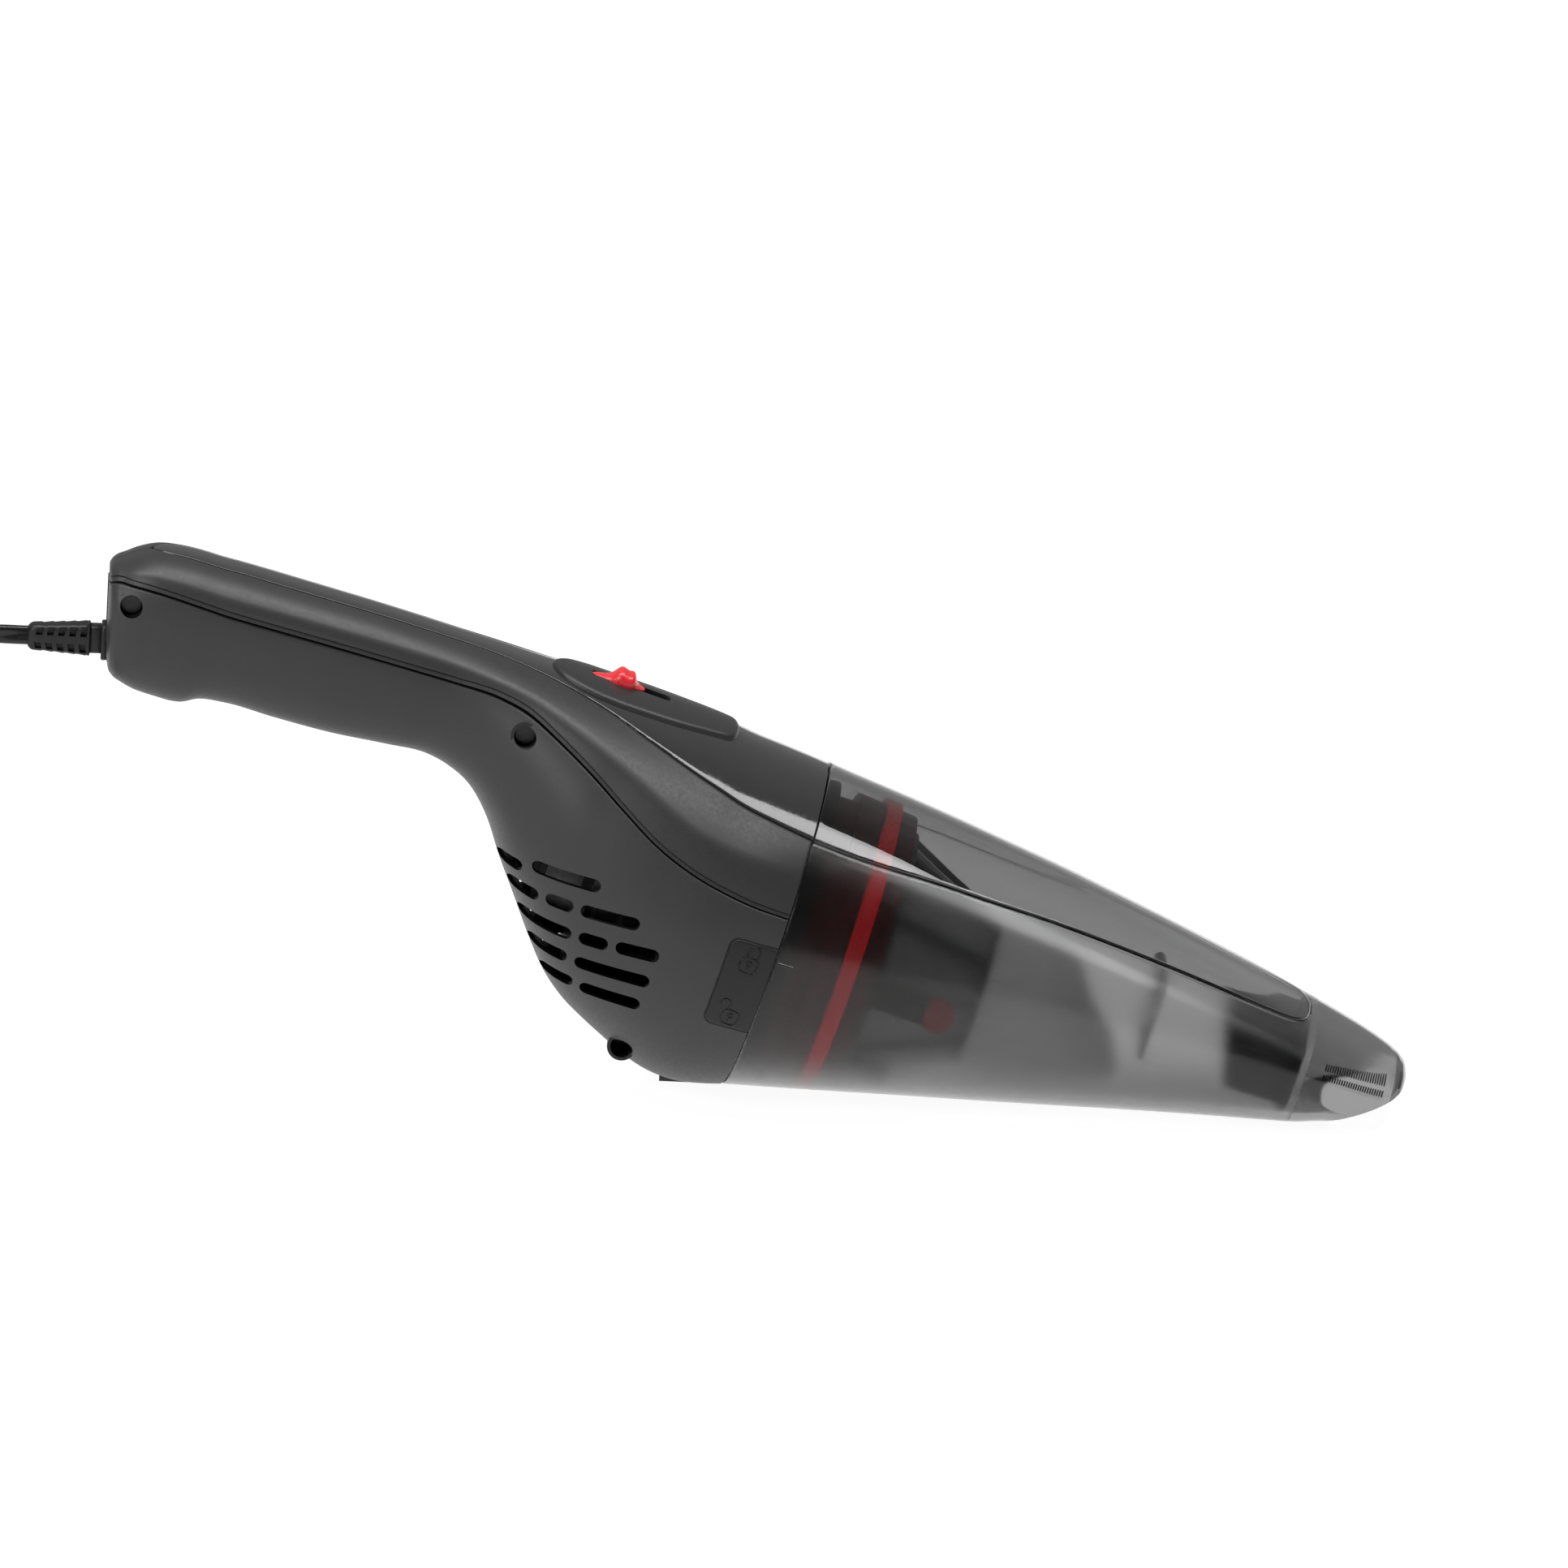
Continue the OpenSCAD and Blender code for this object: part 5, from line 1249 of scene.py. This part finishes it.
# Nose and lip: the same smoke drawn darker, painted shade for the thick clear walls there.
nose_shade_mat = clear_material("smoke_nose_painted_shade", (0.30, 0.30, 0.302), 0.10, 1.46, 900, 0.003)
inner_mat = clear_material("smoke_frosted_inside", (0.48, 0.48, 0.482), 0.34, 1.36, 2400, 0.006)
lip_shade_mat = clear_material("smoke_lip_painted_shade", (0.05, 0.05, 0.0505), 0.04, 1.46, 90, 0.004)


def dress(obj, *mats):
    obj.data.materials.clear()
    for m in mats:
        obj.data.materials.append(m.mat)


DRESSED = (
    (spine_mat, [spine]), (pad_mat, [pad]), (red_mat, [slider]), (panel_mat, [lock, oval_line]),
    (sign_and_groove_shade_mat, [signs_and_groove_shade]), (black_and_shade_mat, [wells, tie]), (rubber_mat, [relief, collar]), (lead_mat, [lead]),
    (polished_mat, [index_rib]), (inside_shade_mat, [baffle, seam_ribs]), (cage_mat, [nose_ribs]),
    (sock_mat, [sock]))
for m, pieces in DRESSED:
    for piece in pieces:
        dress(piece, m)

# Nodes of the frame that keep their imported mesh
CARRIED = (
    (black_and_shade_mat, "bowl_spigot fan_guard fan_housing motor_plate motor_end_cap motor_cradle slider_carrier"),
    (black_and_shade_mat, "switch_body cord_clamp plug_body plug_nose"),
    (steel_mat, "motor_screws shaft clamp_screws flap_pin plug_spring"),
    (brass_mat, "fan_nut brush_arms switch_terminals plug_tip"),
    (rubber_mat, "motor_grommet filter_seal plug_boot"),
    (copper_mat, "windings commutator"), (nylon_mat, "impeller switch_toggle"),
    (nickel_mat, "plug_cap side_contacts"), (can_mat, "motor_can"), (bronze_mat, "bushes"),
    (magnet_mat, "magnets"), (lamination_mat, "armature"), (carbon_mat, "brushes"),
    (ceramic_mat, "capacitor"), (wire_mat, "live_wires"), (lead_mat, "return_wire"), (shell_mat, "foot"),
    (screw_mat, "housing_screws"),
    (cage_mat, "screen_cage"), (screen_mat, "screen_mesh"), (cloth_mat, "filter_cloth"),
    (duct_mat, "inlet_duct"), (flap_mat, "inlet_flap"), (lens_mat, "plug_lens"), (glass_mat, "plug_fuse"))
for m, names in CARRIED:
    for name in names.split():
        dress(NODES[name], m)


def dress_bowl():
    """Frosted outside, rougher inside, polished in the raised window, darker painted shade at nose and lip.
    """
    dress(bowl, frosted_mat, polished_mat, inner_mat, lip_shade_mat, nose_shade_mat)
    outside, polished, inside, lip, nose = range(5)
    back = AXIS.inverted()
    for poly in bowl.data.polygons:
        c = back @ poly.center
        sec = section(BOWL, round(max(0.0, min(199.6, c.x)), 1))
        n = back.to_3x3() @ poly.normal
        outward = n.y * c.y + n.z * (c.z - sec.mid) > 0
        if c.x > LIP_START:
            poly.material_index = lip
        elif c.x < WINDOW_END and c.z > sec.mid and abs(c.y) < window_half(c.x) - 0.05:
            poly.material_index = polished
        elif c.x > NOSE_START:
            poly.material_index = nose
        else:
            poly.material_index = outside if outward else inside


dress_bowl()


def dress_filter():
    """Bright lip ring next to the bowl wall, dark arms and red finger tabs on the filter frame."""
    dress(NODES["filter_frame"], filter_mat, ring_mat, tab_mat, black_and_shade_mat)
    ring, tab, arm = 1, 2, 3
    back = AXIS.inverted()
    for poly in NODES["filter_frame"].data.polygons:
        c = back @ poly.center
        sec = section(BOWL, round(max(0.0, c.x), 1))
        reach = hypot(c.y, c.z - sec.mid) - (sec.half + (sec.top - sec.bottom) / 2) / 2
        if RING_ENDS[0] < c.x < RING_ENDS[1] and reach > -BOWL_WALL - 3.4:
            poly.material_index = ring
        elif c.x > TABS_START:
            poly.material_index = tab
        elif c.x > ARMS_START:
            poly.material_index = arm


dress_filter()


def dress_shells():
    """Painted shade on the inner faces of the housing: drawn near black, so the slots look into the dark."""
    back = AXIS.inverted()
    for obj, outside in ((halves[-1], shell_mat), (halves[1], shell_mat), (cover, cover_mat)):
        dress(obj, outside, inside_shade_mat)
        for poly in obj.data.polygons:
            c, n = back @ poly.center, back.to_3x3() @ poly.normal
            sec = section(HOUSING, round(max(-226.7, min(-0.5, c.x)), 1))
            facing = n.normalized().dot(Vector((0, c.y, c.z - sec.mid)).normalized())
            poly.material_index = 1 if facing < -0.25 and n.normalized().x > -0.7 else 0


dress_shells()

# ---------------------------------------------------------------- floor and light
floor_shape = [(-6, -4, 0), (6, -4, 0), (6, 8, 0), (-6, 8, 0)], [(0, 1, 2, 3)]
floor = raw_object("floor", floor_shape, Matrix.Identity(4))
floor_mat = Mat("pale_floor", (0.22, 0.22, 0.22), 0.85, Emission_Color=(1, 1, 1, 1)).vary_rough(3, 0.03)
away = add_node(floor_mat.tree, "VectorMath", {0: floor_mat.coords})
away.operation = "LENGTH"
floor_mat.feed("Emission Strength", map_range(floor_mat.tree, away.outputs["Value"], 0.3, 1.1, 0.93, 1.0))
dress(floor, floor_mat)

world = bpy.data.worlds.new("studio")
world.use_nodes = True
tree = world.node_tree
toward = component(tree, tree.nodes.new("ShaderNodeTexCoord").outputs["Generated"], "Y")
sky = tree.nodes["Background"]
sky.inputs["Color"].default_value = (1, 1, 1, 1)
tree.links.new(map_range(tree, toward, -0.1, 0.5, 0.03, 0.3), sky.inputs["Strength"])
bpy.context.scene.world = world


def area(name, place, target, size, size_y, power):
    """Rectangular lamp at a place in metres, aimed at a target, with its power in watts."""
    data = bpy.data.lights.new(name, "AREA")
    data.shape = "RECTANGLE"
    data.size = size
    data.size_y = size_y
    data.energy = power
    obj = add_object(name, data)
    obj.location = place
    obj.rotation_euler = (Vector(target) - Vector(place)).to_track_quat("-Z", "Y").to_euler()


area("top_softbox", (0.0, -0.10, 1.3), (0, 0, 0.05), 1.8, 0.42, 22)
area("side_softbox", (-1.1, -1.0, 0.85), (-0.05, 0, 0.06), 0.8, 0.7, 12)

bpy.context.scene.view_settings.view_transform = "Standard"
